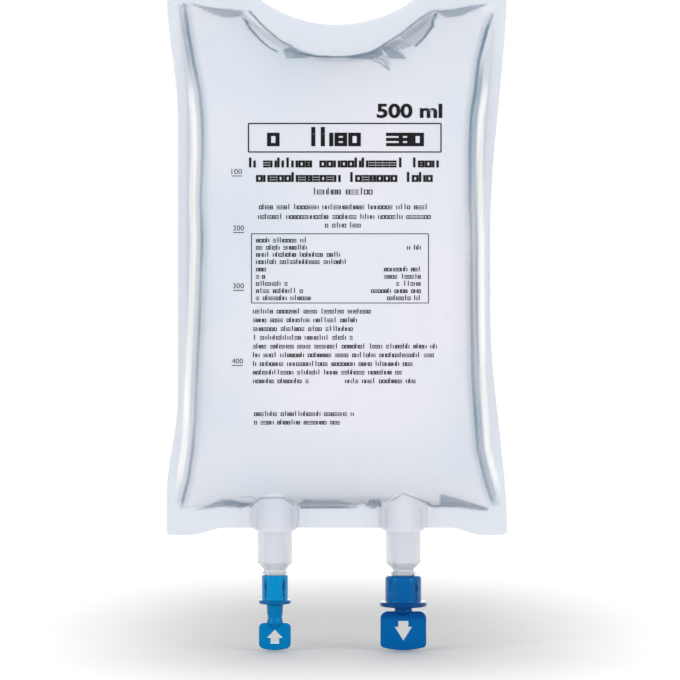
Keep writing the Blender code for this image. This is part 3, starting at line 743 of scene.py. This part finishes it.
# Roughness and shine of the collars and of the tabs, the tint of that shine, and the depth of their grain
COLLAR_SHINE = (0.2, 0.34)
TAB_SHINE = (0.22, 0.24)
CAP_GLOSS = (0.15, 0.58, 1.0)
GRAIN_DEPTH = 0.02 * MM


def new_material(name):
    """A material with nothing but its Principled shader and output."""
    made = bpy.data.materials.new(name)
    made.use_nodes = True
    return made, made.node_tree, made.node_tree.nodes["Principled BSDF"]


def tinted(tree, shader, group, values):
    """Places a group with its values, and gives its colour and roughness to the shader."""
    tint = placed(tree, "ShaderNodeGroup", values, node_tree=group)
    fill(tree, shader, {"Base Color": tint.outputs["Color"], "Roughness": tint.outputs["Roughness"]})
    return tint


def attribute(tree, name):
    return placed(tree, "ShaderNodeAttribute", {}, attribute_name=name).outputs["Fac"]


def relief(tree, shader, height, depth, strength):
    """A bump of the given depth on the shader."""
    bump = placed(tree, "ShaderNodeBump", {"Strength": strength, "Distance": depth, "Height": height})
    fill(tree, shader, {"Normal": bump.outputs["Normal"]})


def film_finish(name, group, painted_shade_share):
    """Clear film over the fluid: painted shade and painted highlights colour it, and a soft wave runs
    through its surface.
    """
    made, tree, shader = new_material(name)
    # Painted shade and painted highlights, read from the points
    painted_shade = times(tree, attribute(tree, "painted_shade"), painted_shade_share)
    shares = {"Painted Shade": painted_shade, "Painted Highlight": attribute(tree, "painted_highlight"), "Weld Share": attribute(tree, "weld")}
    tinted(tree, shader, group, shares)
    fill(tree, shader, {"Alpha": 0.42, "IOR": 1.45, "Specular IOR Level": 0.2})
    relief(tree, shader, noise(tree, object_place(tree), 55.0), 0.4 * MM, 0.25)
    return made


def liquid_finish():
    made, tree, shader = new_material("clear_saline")
    cloud = noise(tree, object_place(tree), 20.0, 1.0)
    colour = mixed(tree, cloud, shade(250, 251, 253), shade(244, 248, 251))
    clear = {"Roughness": 0.1, "IOR": 1.333, "Transmission Weight": 1.0}
    fill(tree, shader, {"Base Color": colour, **clear})
    return made


def clear_moulding_finish(group):
    """Milky clear tube that lets the light of its surroundings through."""
    made, tree, shader = new_material("clear_tube")
    look = {"Colour": shade(241, 243, 248), "Flow And Shade Colour": shade(222, 227, 236), "Roughness": 0.2}
    tint = tinted(tree, shader, group, look)
    fill(tree, shader, {"IOR": 1.4, "Transmission Weight": 0.7})
    relief(tree, shader, tint.outputs["Relief"], GRAIN_DEPTH, 0.2)
    return made


def plastic_finish(name, group, colour, flow_and_shade, roughness, shine, gloss=CAP_GLOSS, shade_heights=None):
    """Moulded plastic with painted shade in its recesses and a fine grain, and painted shade between two
    heights if given.
    """
    made, tree, shader = new_material(name)
    # Painted shade: the points' recess marks, and a band between two heights if given
    recess = attribute(tree, "recess")
    if shade_heights:
        recess = sums(tree, "MAXIMUM", recess, eased(tree, object_axes(tree)["Z"], shade_heights))
    look = {"Colour": shade(*colour), "Flow And Shade Colour": shade(*flow_and_shade), "Recess Shade": recess, "Roughness": roughness}
    tint = tinted(tree, shader, group, look)
    fill(tree, shader, {"Specular IOR Level": shine, "Specular Tint": gloss})
    relief(tree, shader, tint.outputs["Relief"], GRAIN_DEPTH, 0.3)
    return made


def ink_finish(group):
    made, tree, shader = new_material("black_print")
    look = {"Colour": shade(12, 12, 15), "Flow And Shade Colour": shade(5, 5, 8), "Roughness": 0.5, "Flow": 0.8}
    tinted(tree, shader, group, look)
    fill(tree, shader, {"Specular IOR Level": 0.15})
    return made


# The bag's own pieces


def film(name, side, finish, fine):
    """One film sheet with its true thickness and the hanging hole cut through it."""
    _, x, z, half, weld = film_grid(fine)
    # Painted shade and painted highlights, kept on the points for the film's material
    painted_shade, painted_highlight = marks(*as_seen(x, z, half))
    mesh = bpy.data.meshes.new(name)
    inner = np.stack([x, side * half, z], axis=-1).reshape(-1, 3)
    quads = grid_quads(x.shape).reshape(-1, 4)[:, ::side]
    mesh.from_pydata(inner.tolist(), [], quads.tolist())
    for label, values in (("painted_shade", painted_shade), ("painted_highlight", painted_highlight), ("weld", weld)):
        layer = mesh.attributes.new(label, "FLOAT", "POINT")
        layer.data.foreach_set("value", values.reshape(-1).astype(np.float32))
    mesh.materials.append(finish)
    obj = new_object(name, mesh)
    modified(obj, "SOLIDIFY", thickness=FILM_THICK, offset=1.0, use_even_offset=False)
    boolean(obj, hanging_hole(f"{name}_hole"), "DIFFERENCE")
    return smooth(obj, 60)


def hanging_hole(name):
    """Cutter of the hanging hole: a straight upper edge, round corners, and an arc below."""
    dip = HOLE_DEPTH - HOLE_SIDE
    radius = (HOLE_HALF_WIDTH**2 + dip**2) / (2 * dip)
    half_turn = math.degrees(math.asin(HOLE_HALF_WIDTH / radius))
    corner = (HOLE_HALF_WIDTH - HOLE_CORNER_RADIUS, -HOLE_CORNER_RADIUS)
    outline = [
        *arc(corner, HOLE_CORNER_RADIUS, 90, 0, 12),
        *arc((0, radius - HOLE_DEPTH), radius, -90 + half_turn, -90 - half_turn, 60),
        *arc((-corner[0], corner[1]), HOLE_CORNER_RADIUS, 180, 90, 12),
    ]
    return plate(name, outline, HALF_THICK)


def saline(finish, fine):
    """The liquid: the chamber taken in by the clearance, with a column of it down each tube."""
    flat, x, z, half, _ = film_grid(fine)
    inset = CLEAR + FILM_THICK / 2
    wet = (np.abs(flat) < CHAMBER_HALF_WIDTH) & (z < chamber_top(flat)) & (z > chamber_bottom(flat) + HAIR)
    wet &= half > 2 * inset
    quads = grid_quads(x.shape)[wet[:-1, :-1] & wet[:-1, 1:] & wet[1:, 1:] & wet[1:, :-1]]
    used = np.unique(quads).tolist()
    quads = quads.tolist()
    work = bmesh.new()
    skins = []
    for side in (-1, 1):
        points = np.stack([x, side * (half - inset), z], axis=-1).reshape(-1, 3)
        skin = {i: work.verts.new(points[i]) for i in used}
        for quad in quads:
            work.faces.new([skin[i] for i in quad[::side]])
        skins.append(skin)
    edges = {edge for a, b, c, d in quads for edge in ((a, b), (b, c), (c, d), (d, a))}
    for a, b in sorted(edges):
        if (b, a) not in edges:
            work.faces.new((skins[1][b], skins[1][a], skins[0][a], skins[0][b]))
    bmesh.ops.recalc_face_normals(work, faces=work.faces)
    obj = object_from(work, "saline_fill", finish)
    top, bottom = TUBE_TOP_Z + CLEAR, CHAMBER_BOTTOM_Z - CLEAR
    room = [(0, top), (SLEEVE_RADIUS, top), (SLEEVE_RADIUS, bottom), (0, bottom)]
    for port in PORTS:
        boolean(obj, turned(f"{port.name}_room", room, port.x, segments=COLUMN_SEGMENTS), "DIFFERENCE")
        boolean(obj, liquid_column(port), "UNION")
    return smooth(obj, 50)


def liquid_column(port):
    """The liquid that stands in a tube's bore, down to the septum."""
    wide, narrow = TUBE_BORE - CLEAR, port.bore - CLEAR
    top, end = TUBE_TOP_Z + TUBE_CHAMFER, port.plug_end_z
    taper = [(wide, TUBE_SHOULDER_Z + CLEAR), (narrow, NECK_Z + CLEAR)]
    profile = [(0, top), (wide, top), *taper, (narrow, end), (0, end)]
    half_step = math.pi / COLUMN_SEGMENTS
    return turned(f"{port.name}_column", profile, port.x, segments=COLUMN_SEGMENTS, turn=half_step)


# The pieces of a port


def port_tube(port, finish):
    """Moulded tube with its boat-shaped weld section."""
    neck_bottom = RIM_Z - RIM_THICK
    profile = [
        (TUBE_BORE, TUBE_TOP_Z), (TUBE_RADIUS - TUBE_CHAMFER, TUBE_TOP_Z),
        (TUBE_RADIUS, TUBE_TOP_Z - TUBE_CHAMFER), (TUBE_RADIUS, TUBE_SHOULDER_Z),
        (port.neck, NECK_Z), (port.neck, RIM_Z), (port.rim, RIM_Z), (port.rim, neck_bottom),
        (port.throat, neck_bottom), (port.throat, port.plug_top_z), (port.plug, port.plug_top_z),
        (port.plug, port.plug_end_z), (port.bore, port.plug_end_z), (port.bore, NECK_Z),
        (TUBE_BORE, TUBE_SHOULDER_Z),
    ]
    tube = turned(f"{port.name}_tube", filleted(profile, TUBE_FILLET), port.x, finish)
    tip = SLEEVE_REACH - CLEAR * SLEEVE_REACH / SLEEVE_RADIUS
    flank_x = SLEEVE_TOUCH * TUBE_RADIUS / SLEEVE_RADIUS
    flank_y = math.sqrt(TUBE_RADIUS**2 - flank_x**2)
    half = [(tip, 0), (flank_x, flank_y), (-flank_x, flank_y)]
    section = [(px, py, 0) for px, py in (*half, *((-px, -py) for px, py in half))]
    bottom = FILM_BOTTOM_Z + CLEAR
    rise = (0, 0, CHAMBER_BOTTOM_Z - bottom)
    boolean(tube, extruded(f"{port.name}_wings", section, rise, (port.x, 0, bottom)), "UNION")
    low, high = bottom - CLEAR, CHAMBER_BOTTOM_Z + CLEAR
    bore = [(0, high), (TUBE_BORE, high), (TUBE_BORE, low), (0, low)]
    boolean(tube, turned(f"{port.name}_bore", bore, port.x), "DIFFERENCE")
    return smooth(tube, 30)


def collar(port, finish):
    """Cap collar with its lip, floor, mouth and flange, and the grooves of its wall."""
    inside, throat = port.plug + CLEAR, port.throat + CLEAR
    rounding = (port.collar - port.collar_rounding, COLLAR_TOP_Z - port.collar_rounding)
    edge = port.flange_thick / 4
    recess = port.stem + WEB_RECESS_MARGIN
    floor_z = port.bottom_z + COLLAR_FLOOR
    web_z = port.bottom_z + WEB_RECESS
    profile = [
        (throat, COLLAR_TOP_Z),
        *arc(rounding, port.collar_rounding, 90, 0, 6),
        (port.collar, port.flange_z), (port.flange - edge, port.flange_z),
        (port.flange, port.flange_z - edge), (port.flange, port.bottom_z + edge),
        (port.flange - edge, port.bottom_z), (recess, port.bottom_z), (recess, web_z),
        (port.mouth, web_z), (port.mouth, floor_z), (inside, floor_z),
        (inside, COLLAR_TOP_Z - LIP_THICK), (throat, COLLAR_TOP_Z - LIP_THICK),
    ]
    fine = finely(filleted(profile, CAP_FILLET, 3), WALL_STEP)
    obj = turned(f"{port.name}_cap_collar", fine, port.x, finish, segments=COLLAR_SEGMENTS)
    carve_grooves(obj, port)
    return smooth(obj, 35)


def carve_grooves(obj, port):
    """Carves shallow grip grooves, pointed at both ends, down the wall, and paints shade into them and onto
    the flange.
    """
    top, low = COLLAR_TOP_Z - port.collar_rounding - GRIP_MARGIN, port.flange_z + GRIP_MARGIN
    half, middle = (top - low) / 2, (top + low) / 2
    radius = (half**2 + GRIP_HALF_WIDTH**2) / (2 * GRIP_HALF_WIDTH)
    away = port.collar + GRIP_HALF_WIDTH - GRIP_DEPTH
    quarter = math.tau / GRIP_GROOVES
    layer = obj.data.attributes.new("recess", "FLOAT", "POINT")
    for vert, mark in zip(obj.data.vertices, layer.data):
        out = Vector((vert.co.x - port.x, vert.co.y, 0))
        up = vert.co.z - middle
        # Painted shade on the flange
        if out.length > port.collar + FLANGE_SHADE_FROM:
            mark.value = FLANGE_SHADE
        if abs(out.length - port.collar) > WALL_NEAR or abs(up) >= half:
            continue
        spindle = math.sqrt(radius**2 - up**2) - (radius - GRIP_HALF_WIDTH)
        angle = math.atan2(out.x, -out.y) % quarter - quarter / 2
        across = abs(angle) * port.collar
        if across < spindle:
            cut = min(port.collar, away - math.sqrt(spindle**2 - across**2))
            # Painted shade down the groove, longer than its cut; left of the axis only as much as left_shade
            # gives
            seen = 1 if out.x > 0 else port.left_shade
            mark.value = ramp(across / spindle, 0.85, 0.35) * seen
            vert.co -= out.normalized() * (port.collar - cut)


def septum(port, finish):
    """Rubber disc between the tube's end and the collar's floor."""
    bottom, top = port.septum_z, port.septum_z + SEPTUM_THICK
    profile = [(0, top), (port.plug, top), (port.plug, bottom), (0, bottom)]
    return smooth(turned(f"{port.name}_rubber_disc", filleted(profile, SEPTUM_THICK / 6), port.x, finish))


def break_off_tab(port, finish):
    """Twist-off tab: a waisted round stem that runs into a flat blade with an arrow window."""
    flare = port.blade_z - port.low_corner
    waist_z = port.tab_z - port.stem_length
    profile = [
        (0, port.tab_z), (port.stem, port.tab_z),
        ((port.stem + port.waist) / 2, waist_z + port.waist_length / 8),
        (port.waist, waist_z), (port.waist, waist_z - port.waist_length / 3),
        (port.stem, port.blade_z), (port.waist / 2, flare), (0, flare),
    ]
    tab = turned(f"{port.name}_tab", filleted(profile, CAP_FILLET), port.x, finish)
    blade = plate(f"{port.name}_blade", blade_outline(port), port.tab_thick, port.x, port.blade_z)
    edges = {"limit_method": "ANGLE", "angle_limit": math.radians(60)}
    modified(blade, "BEVEL", width=port.tab_thick * 0.24, segments=5, **edges)
    applied(blade)
    boolean(tab, blade, "UNION")
    middle_z = port.blade_z - port.tab_height / 2
    window = plate(f"{port.name}_arrow", arrow_outline(port), 4 * port.tab_thick, port.x, middle_z)
    boolean(tab, window, "DIFFERENCE")
    return smooth(tab, 35)


def blade_outline(port):
    """The blade, hung from its upper edge: round corners, and a lower edge that bows."""
    half, low = port.tab_width / 2, port.bow - port.tab_height
    top, bottom = port.top_corner, port.low_corner
    shares = [1 - step / 6 for step in range(1, 12)]
    bow = [((half - bottom) * share, low - port.bow * (1 - share**2)) for share in shares]
    return [
        *arc((half - top, -top), top, 90, 0, 14),
        *arc((half - bottom, low + bottom), bottom, 0, -90, 14),
        *bow,
        *arc((bottom - half, low + bottom), bottom, -90, -180, 14),
        *arc((top - half, -top), top, 180, 90, 14),
    ]


def arrow_outline(port):
    """The arrow window, centred on the blade."""
    head, shaft = port.head_width / 2, port.shaft_width / 2
    half = (port.head_height + port.shaft_height) / 2
    neck = half - port.head_height
    right = [(shaft, -half), (shaft, neck), (head, neck)]
    outline = [(0, half), *((-x, z) for x, z in reversed(right)), *right]
    return outline if port.points_up else [(-x, -z) for x, z in outline]


# Print on the front film, given in picture pixels

PRINT_LIFT = 0.05 * MM
PRINT_THICK = 0.02 * MM
STROKE_SIDE = 0.31

# Text rows by size: height of a low stroke, width of a stroke and share of gaps, then each row's left, right
# and base line. The last size is the bold words inside the title frame.
ROW_GAPS = 0.13
TEXT_ROWS = (
    (7.0, 2.5, ROW_GAPS, ((249, 439, 167.5), (256, 433, 182.0))),
    (4.9, 1.1, ROW_GAPS, ((314, 373, 194.5),)),
    (3.8, 0.95, ROW_GAPS, ((259, 428, 209.3), (258, 431, 219.0), (325, 361, 227.5))),
    (3.6, 0.95, ROW_GAPS, (
        (256, 307, 242.5), (256, 307, 249.7), (407, 421, 249.7), (256, 340, 256.8), (256, 347, 264.0),
        (256, 266, 271.4), (384, 421, 271.4), (256, 265, 278.7), (384, 421, 278.7), (256, 288, 285.8),
        (396, 421, 285.8), (256, 303, 293.0), (371, 421, 293.0), (256, 311, 300.2), (387, 421, 300.2),
        (253, 371, 313.5), (253, 357, 322.2), (253, 353, 331.0), (253, 353, 339.7), (253, 437, 348.5),
        (253, 434, 357.2), (253, 413, 366.0), (253, 402, 374.5), (253, 309, 383.2), (345, 416, 383.2),
    )),
    (3.6, 0.9, ROW_GAPS, ((254, 354, 416.0), (254, 340, 424.5))),
    (13.6, 4.2, 0.0, ((267, 282, 146.3), (307, 362, 146.3), (386, 424, 146.3))),
)

# Frames: left, right, top, bottom, line width
FRAMES = ((248.5, 441, 123.5, 152, 1.3), (251.5, 428.5, 233.8, 303, 0.8))

# Figures: text, left, right, top, bottom, boldness
FIGURES = (
    ("500 ml", 376.7, 442.3, 103.6, 118.2, 0.032),
    ("100", 231.5, 242, 169, 174, 0.0),
    ("200", 233, 244, 225.5, 230.5, 0.0),
    ("300", 233, 244, 283.3, 288.3, 0.0),
    ("400", 232, 243, 358.5, 363.5, 0.0),
)
TICK_DROP, TICK_WIDTH = 2.0, 0.8
RULE_STEP = 3


def stroke_tree(ink):
    """Geometry tree of one greeked row: small figures of upright and level bars, in groups with gaps."""
    inputs = {"Length": 0.03, "Height": 0.0013, "Stroke": 0.0003, "Gaps": 0.13, "Seed": 0}
    tree, start, end = group_tree("greeked_row", inputs, {"Geometry": "Geometry"}, "GeometryNodeTree")
    length, high, stroke, gaps, seed = (start.outputs[label] for label in inputs)

    calc, product = partial(sums, tree), partial(times, tree)

    def made(kind, values, **settings):
        return placed(tree, kind, values, **settings).outputs[0]

    def bar(width, height, x, y):
        """A flat stroke of the given size with its middle at x and y."""
        sizes = {"Vertices X": 2, "Vertices Y": 2, "Size X": width, "Size Y": height}
        middle = made("ShaderNodeCombineXYZ", {0: x, 1: y})
        grid = made("GeometryNodeMeshGrid", sizes)
        return made("GeometryNodeTransform", {"Geometry": grid, "Translation": middle})

    def joined(*parts):
        node = tree.nodes.new("GeometryNodeJoinGeometry")
        for part in reversed(parts):
            tree.links.new(part, node.inputs[0])
        return node.outputs[0]

    tall = product(high, 1.42)
    room = calc("ADD", product(high, 0.72), product(stroke, 0.85))
    number = calc("MAXIMUM", calc("ROUND", calc("DIVIDE", length, room)), 1.0)
    half_high, half_tall = product(high, 0.5), product(tall, 0.5)
    side = product(high, STROKE_SIDE)
    left, nought = product(side, -1.0), product(side, 0.0)
    span = calc("ADD", product(side, 2.0), stroke)
    thin = product(stroke, 0.8)
    base_line = product(thin, 0.5)
    top_line = calc("SUBTRACT", high, base_line)
    upright = (bar(stroke, high, left, half_high), bar(stroke, high, side, half_high))
    level = (bar(span, thin, nought, top_line), bar(span, thin, nought, base_line))
    middle = bar(span, thin, nought, half_high)
    pair, rungs, ring = joined(*upright), joined(middle, *level), joined(*upright, *level)
    post = bar(stroke, tall, nought, half_tall)
    high_pair = joined(bar(stroke, tall, left, half_tall), upright[1])
    shapes = (ring, pair, rungs, joined(ring, middle), post, ring, rungs, high_pair)
    choices = tree.nodes.new("GeometryNodeJoinGeometry")
    for shape in shapes:
        tree.links.new(made("GeometryNodeGeometryToInstance", {0: shape}), choices.inputs[0])

    offset = made("ShaderNodeCombineXYZ", {0: calc("DIVIDE", length, number)})
    line = made("GeometryNodeMeshLine", {"Count": number, "Offset": offset}, mode="OFFSET")
    index = tree.nodes.new("GeometryNodeInputIndex").outputs[0]
    phase = product(calc("FRACT", product(seed, 0.37)), 0.5)
    step = calc("FRACT", calc("ADD", product(index, 0.618), calc("ADD", phase, 0.3)))
    inside = calc("LESS_THAN", index, calc("SUBTRACT", number, 1.5))
    gap = product(calc("LESS_THAN", step, gaps), inside)
    points = made("GeometryNodeDeleteGeometry", {"Geometry": line, "Selection": gap})
    pick = placed(tree, "FunctionNodeRandomValue", {}, data_type="INT")
    fill(tree, pick, {4: 0, 5: len(shapes) - 1, "Seed": calc("ADD", seed, 100.0)})
    chosen = {"Points": points, "Instance": choices.outputs[0], "Instance Index": pick.outputs[2]}
    row = made("GeometryNodeInstanceOnPoints", {"Pick Instance": True, **chosen})
    real = made("GeometryNodeRealizeInstances", {0: row})
    inked = made("GeometryNodeSetMaterial", {"Geometry": real, "Material": ink})
    tree.links.new(inked, end.inputs[0])
    return tree


def greeked_row(tree, seed, left, right, base, height, stroke, gaps):
    """The strokes of one row, flat in pixels of the picture."""
    obj = new_object("row", bpy.data.meshes.new("row"))
    strokes = modified(obj, "NODES", node_group=tree)
    values = {"Length": right - left, "Height": height, "Stroke": stroke, "Gaps": gaps}
    for socket in tree.interface.items_tree:
        if socket.name in values:
            strokes[socket.identifier] = float(values[socket.name])
        elif socket.name == "Seed":
            strokes[socket.identifier] = seed
    mesh = evaluated(obj)
    bpy.data.objects.remove(obj, do_unlink=True)
    mesh.transform(Matrix.Translation((left + height * STROKE_SIDE + stroke / 2, -base, 0)))
    return mesh


def figure(text, left, right, top, bottom, boldness):
    """Plain figures fitted into a box of picture pixels."""
    curve = bpy.data.curves.new("figure", "FONT")
    curve.body = text
    curve.offset = boldness
    curve.resolution_u = 4
    obj = new_object("figure", curve)
    mesh = evaluated(obj)
    bpy.data.objects.remove(obj, do_unlink=True)
    places = np.array([vert.co[:2] for vert in mesh.vertices])
    low, size = places.min(0), np.ptp(places, 0)
    scale = Matrix.Diagonal(((right - left) / size[0], (bottom - top) / size[1], 1, 1))
    mesh.transform(Matrix.Translation((left, -bottom, 0)) @ scale @ Matrix.Translation((*-low, 0)))
    return mesh


def rule(work, start, end, width):
    """A straight printed line between two pixels, in short lengths so that it can follow the film."""
    first, last = Vector((start[0], -start[1], 0)), Vector((end[0], -end[1], 0))
    run = last - first
    side = Vector((-run.y, run.x, 0)).normalized() * width / 2
    steps = max(1, math.ceil(run.length / RULE_STEP))
    points = [first + run * step / steps for step in range(steps + 1)]
    upper = [work.verts.new(point + side) for point in points]
    lower = [work.verts.new(point - side) for point in points]
    for i in range(steps):
        work.faces.new((lower[i], lower[i + 1], upper[i + 1], upper[i]))


def laid_on(name, work, surface, ink):
    """Flat work in picture pixels, laid on the front film as the camera sees it there."""
    for vert in work.verts:
        x, z = on_bag(vert.co.x, -vert.co.y)
        ray = (Vector((x, 0, z)) - EYE).normalized()
        hit, normal, _, _ = surface.ray_cast(EYE, ray)
        vert.co = hit + normal * PRINT_LIFT
    obj = object_from(work, name, ink)
    obj.data.validate()
    modified(obj, "SOLIDIFY", thickness=PRINT_THICK, offset=0)
    return applied(obj)


def printed_front(sheet, ink):
    """Everything printed on the front film."""
    surface = BVHTree.FromObject(sheet, bpy.context.evaluated_depsgraph_get())
    tree, seeds = stroke_tree(ink), count(1)
    rows, figures, lines = bmesh.new(), bmesh.new(), bmesh.new()
    for height, stroke, gaps, places in TEXT_ROWS:
        for place in places:
            rows.from_mesh(greeked_row(tree, next(seeds), *place, height, stroke, gaps))
    for text in FIGURES:
        figures.from_mesh(figure(*text))
    for left, right, top, bottom, width in FRAMES:
        corners = ((left, top), (right, top), (right, bottom), (left, bottom))
        for start, end in zip(corners, corners[1:] + corners[:1]):
            rule(lines, start, end, width)
    for _, left, right, _, bottom, _ in FIGURES[1:]:
        rule(lines, (left, bottom + TICK_DROP), (right, bottom + TICK_DROP), TICK_WIDTH)
    works = {"print_text_rows": rows, "print_figures": figures, "print_rules": lines}
    return [laid_on(name, work, surface, ink) for name, work in works.items()]


# Studio

WORLD_LIGHT = 0.52
FLOOR_FILL = 0.45
FLOOR_RADIUS = 1.2
FLOOR_GAP = 0.5 * MM
FLOOR_GREY = (0.74, 0.74, 0.74)

# Where the floor melts away, and where its painted shade starts and is full, in metres
FLOOR_CLEAR = (0.8, 0.4)
SHADE_MIDDLE = 0.005
SHADE_SIDES = (0.155, 0.02)
SHADE_BACK = (0.40, 0.10)
SHADE_FRONT = (-0.16, 0.0)

# Lamps: place, what they point at, size, watts, and whether a glossy face mirrors them
LOW = (0.0, 0.0, -0.19)
LAMPS = {
    "left_key": ((-0.6, -1.0, -0.05), AIM, (0.3, 0.6), 2.6, False),
    "right_key": ((0.6, -1.0, -0.05), AIM, (0.3, 0.6), 2.6, False),
    "left_side": ((-0.78, -0.55, -0.005), AIM, (0.4, 0.48), 3.5, True),
    "right_side": ((0.78, -0.55, -0.005), AIM, (0.4, 0.48), 3.5, True),
    "low_fill": ((0.0, -0.9, -0.19), LOW, (0.9, 0.08), 1.8, False),
    "back_fill": ((0.0, 1.2, 0.25), AIM, (1.2, 0.8), 6.0, True),
}


def seen_directly(tree):
    """1 for what the camera sees, straight or by mirror or glass, and 0 for the light on matt surfaces."""
    path = tree.nodes.new("ShaderNodeLightPath")
    seen = sums(tree, "MAXIMUM", path.outputs["Is Camera Ray"], path.outputs["Is Glossy Ray"])
    return sums(tree, "MAXIMUM", seen, path.outputs["Is Transmission Ray"])


def floor(z):
    """White floor that keeps the bag's soft shadow, deepened by a painted shadow round the bag, and melts
    into the white background further out.
    """
    work = bmesh.new()
    bmesh.ops.create_circle(work, cap_ends=True, segments=SEGMENTS, radius=FLOOR_RADIUS)
    made, tree, shader = new_material("white_floor")
    axes = object_axes(tree)
    across, depth = axes["X"], axes["Y"]
    # Painted shadow: a soft patch round the bag where the floor's glow is lowered
    aside = sums(tree, "ABSOLUTE", sums(tree, "SUBTRACT", across, SHADE_MIDDLE))
    along = times(tree, eased(tree, depth, SHADE_BACK), eased(tree, depth, SHADE_FRONT))
    shaded = times(tree, eased(tree, aside, SHADE_SIDES), along)
    glow = times(tree, sums(tree, "SUBTRACT", 1.0, shaded), FLOOR_FILL)
    squares = sums(tree, "ADD", times(tree, aside, aside), times(tree, depth, depth))
    solid = eased(tree, sums(tree, "SQRT", squares), FLOOR_CLEAR)
    fill(tree, shader, {"Base Color": FLOOR_GREY, "Roughness": 0.9, "Specular IOR Level": 0.0})
    strength = times(tree, seen_directly(tree), glow)
    fill(tree, shader, {"Emission Color": WHITE, "Emission Strength": strength, "Alpha": solid})
    obj = object_from(work, "studio_floor", made, (0, 0, z))


def studio_world():
    """Even white surroundings, plain white where they are seen."""
    world = bpy.data.worlds.new("studio")
    bpy.context.scene.world = world
    world.use_nodes = True
    tree = world.node_tree
    more = times(tree, seen_directly(tree), 1.0 - WORLD_LIGHT)
    strength = sums(tree, "ADD", more, WORLD_LIGHT)
    fill(tree, tree.nodes["Background"], {"Color": WHITE, "Strength": strength})


def softbox(name, place, aim, size, power, mirrored):
    """A rectangular lamp that the liquid doesn't show."""
    light = bpy.data.lights.new(name, "AREA")
    light.shape = "RECTANGLE"
    light.size, light.size_y = size
    light.energy = power
    obj = new_object(name, light)
    obj.location = place
    obj.rotation_euler = (Vector(aim) - Vector(place)).to_track_quat("-Z", "Y").to_euler()
    obj.visible_transmission = False
    obj.visible_glossy = mirrored


def camera():
    """Camera level with the picture's middle, square to the bag's front."""
    made = bpy.data.cameras.new("camera")
    made.sensor_fit = "HORIZONTAL"
    made.sensor_width = SENSOR
    made.lens = SENSOR * CAMERA_DISTANCE / (PICTURE * PIXEL)
    made.clip_start = 0.05
    obj = new_object("camera", made)
    obj.location = EYE
    obj.rotation_euler = (math.radians(90), 0, 0)
    bpy.context.scene.camera = obj


# All together


def dress(obj, body, node=None):
    """Puts a finished piece on its body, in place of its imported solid."""
    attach(obj, body)
    if node:
        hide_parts(node)


def main():
    """Builds every piece in its finish, then the studio round the bag."""
    tint, moulding = film_tint_group(), moulding_group()
    tube_finish = clear_moulding_finish(moulding)
    rubber = plastic_finish(
        "stopper_rubber", moulding, (176, 172, 164), (150, 146, 140), 0.65, 0.3, gloss=WHITE
    )
    front = film("front_film_sheet", -1, film_finish("printed_clear_film", tint, 1.0), FRONT_FINE)
    dress(front, "bag", "front_film")
    back = film("back_film_sheet", 1, film_finish("plain_clear_film", tint, 0.8), BACK_FINE)
    dress(back, "bag", "back_film")
    dress(saline(liquid_finish(), LIQUID_FINE), "bag", "saline")
    for port, (blue, collar_tones, tab_tones, shade_heights) in zip(PORTS, CAPS):
        name = port.name
        collar_finish = plastic_finish(f"{blue}_collar", moulding, *collar_tones, *COLLAR_SHINE)
        tab_finish = plastic_finish(f"{blue}_tab", moulding, *tab_tones, *TAB_SHINE, shade_heights=shade_heights)
        dress(port_tube(port, tube_finish), "bag", f"{name}_port_tube")
        dress(collar(port, collar_finish), "bag", f"{name}_collar")
        dress(septum(port, rubber), "bag", f"{name}_septum")
        dress(break_off_tab(port, tab_finish), f"{name}_tab", f"{name}_break_off_tab")
    for piece in printed_front(front, ink_finish(moulding)):
        dress(piece, "bag")

    floor(INFUSION.blade_z - INFUSION.tab_height - FLOOR_GAP)
    studio_world()
    for name, settings in LAMPS.items():
        softbox(name, *settings)
    camera()
    bpy.context.scene.view_settings.view_transform = "Standard"


main()
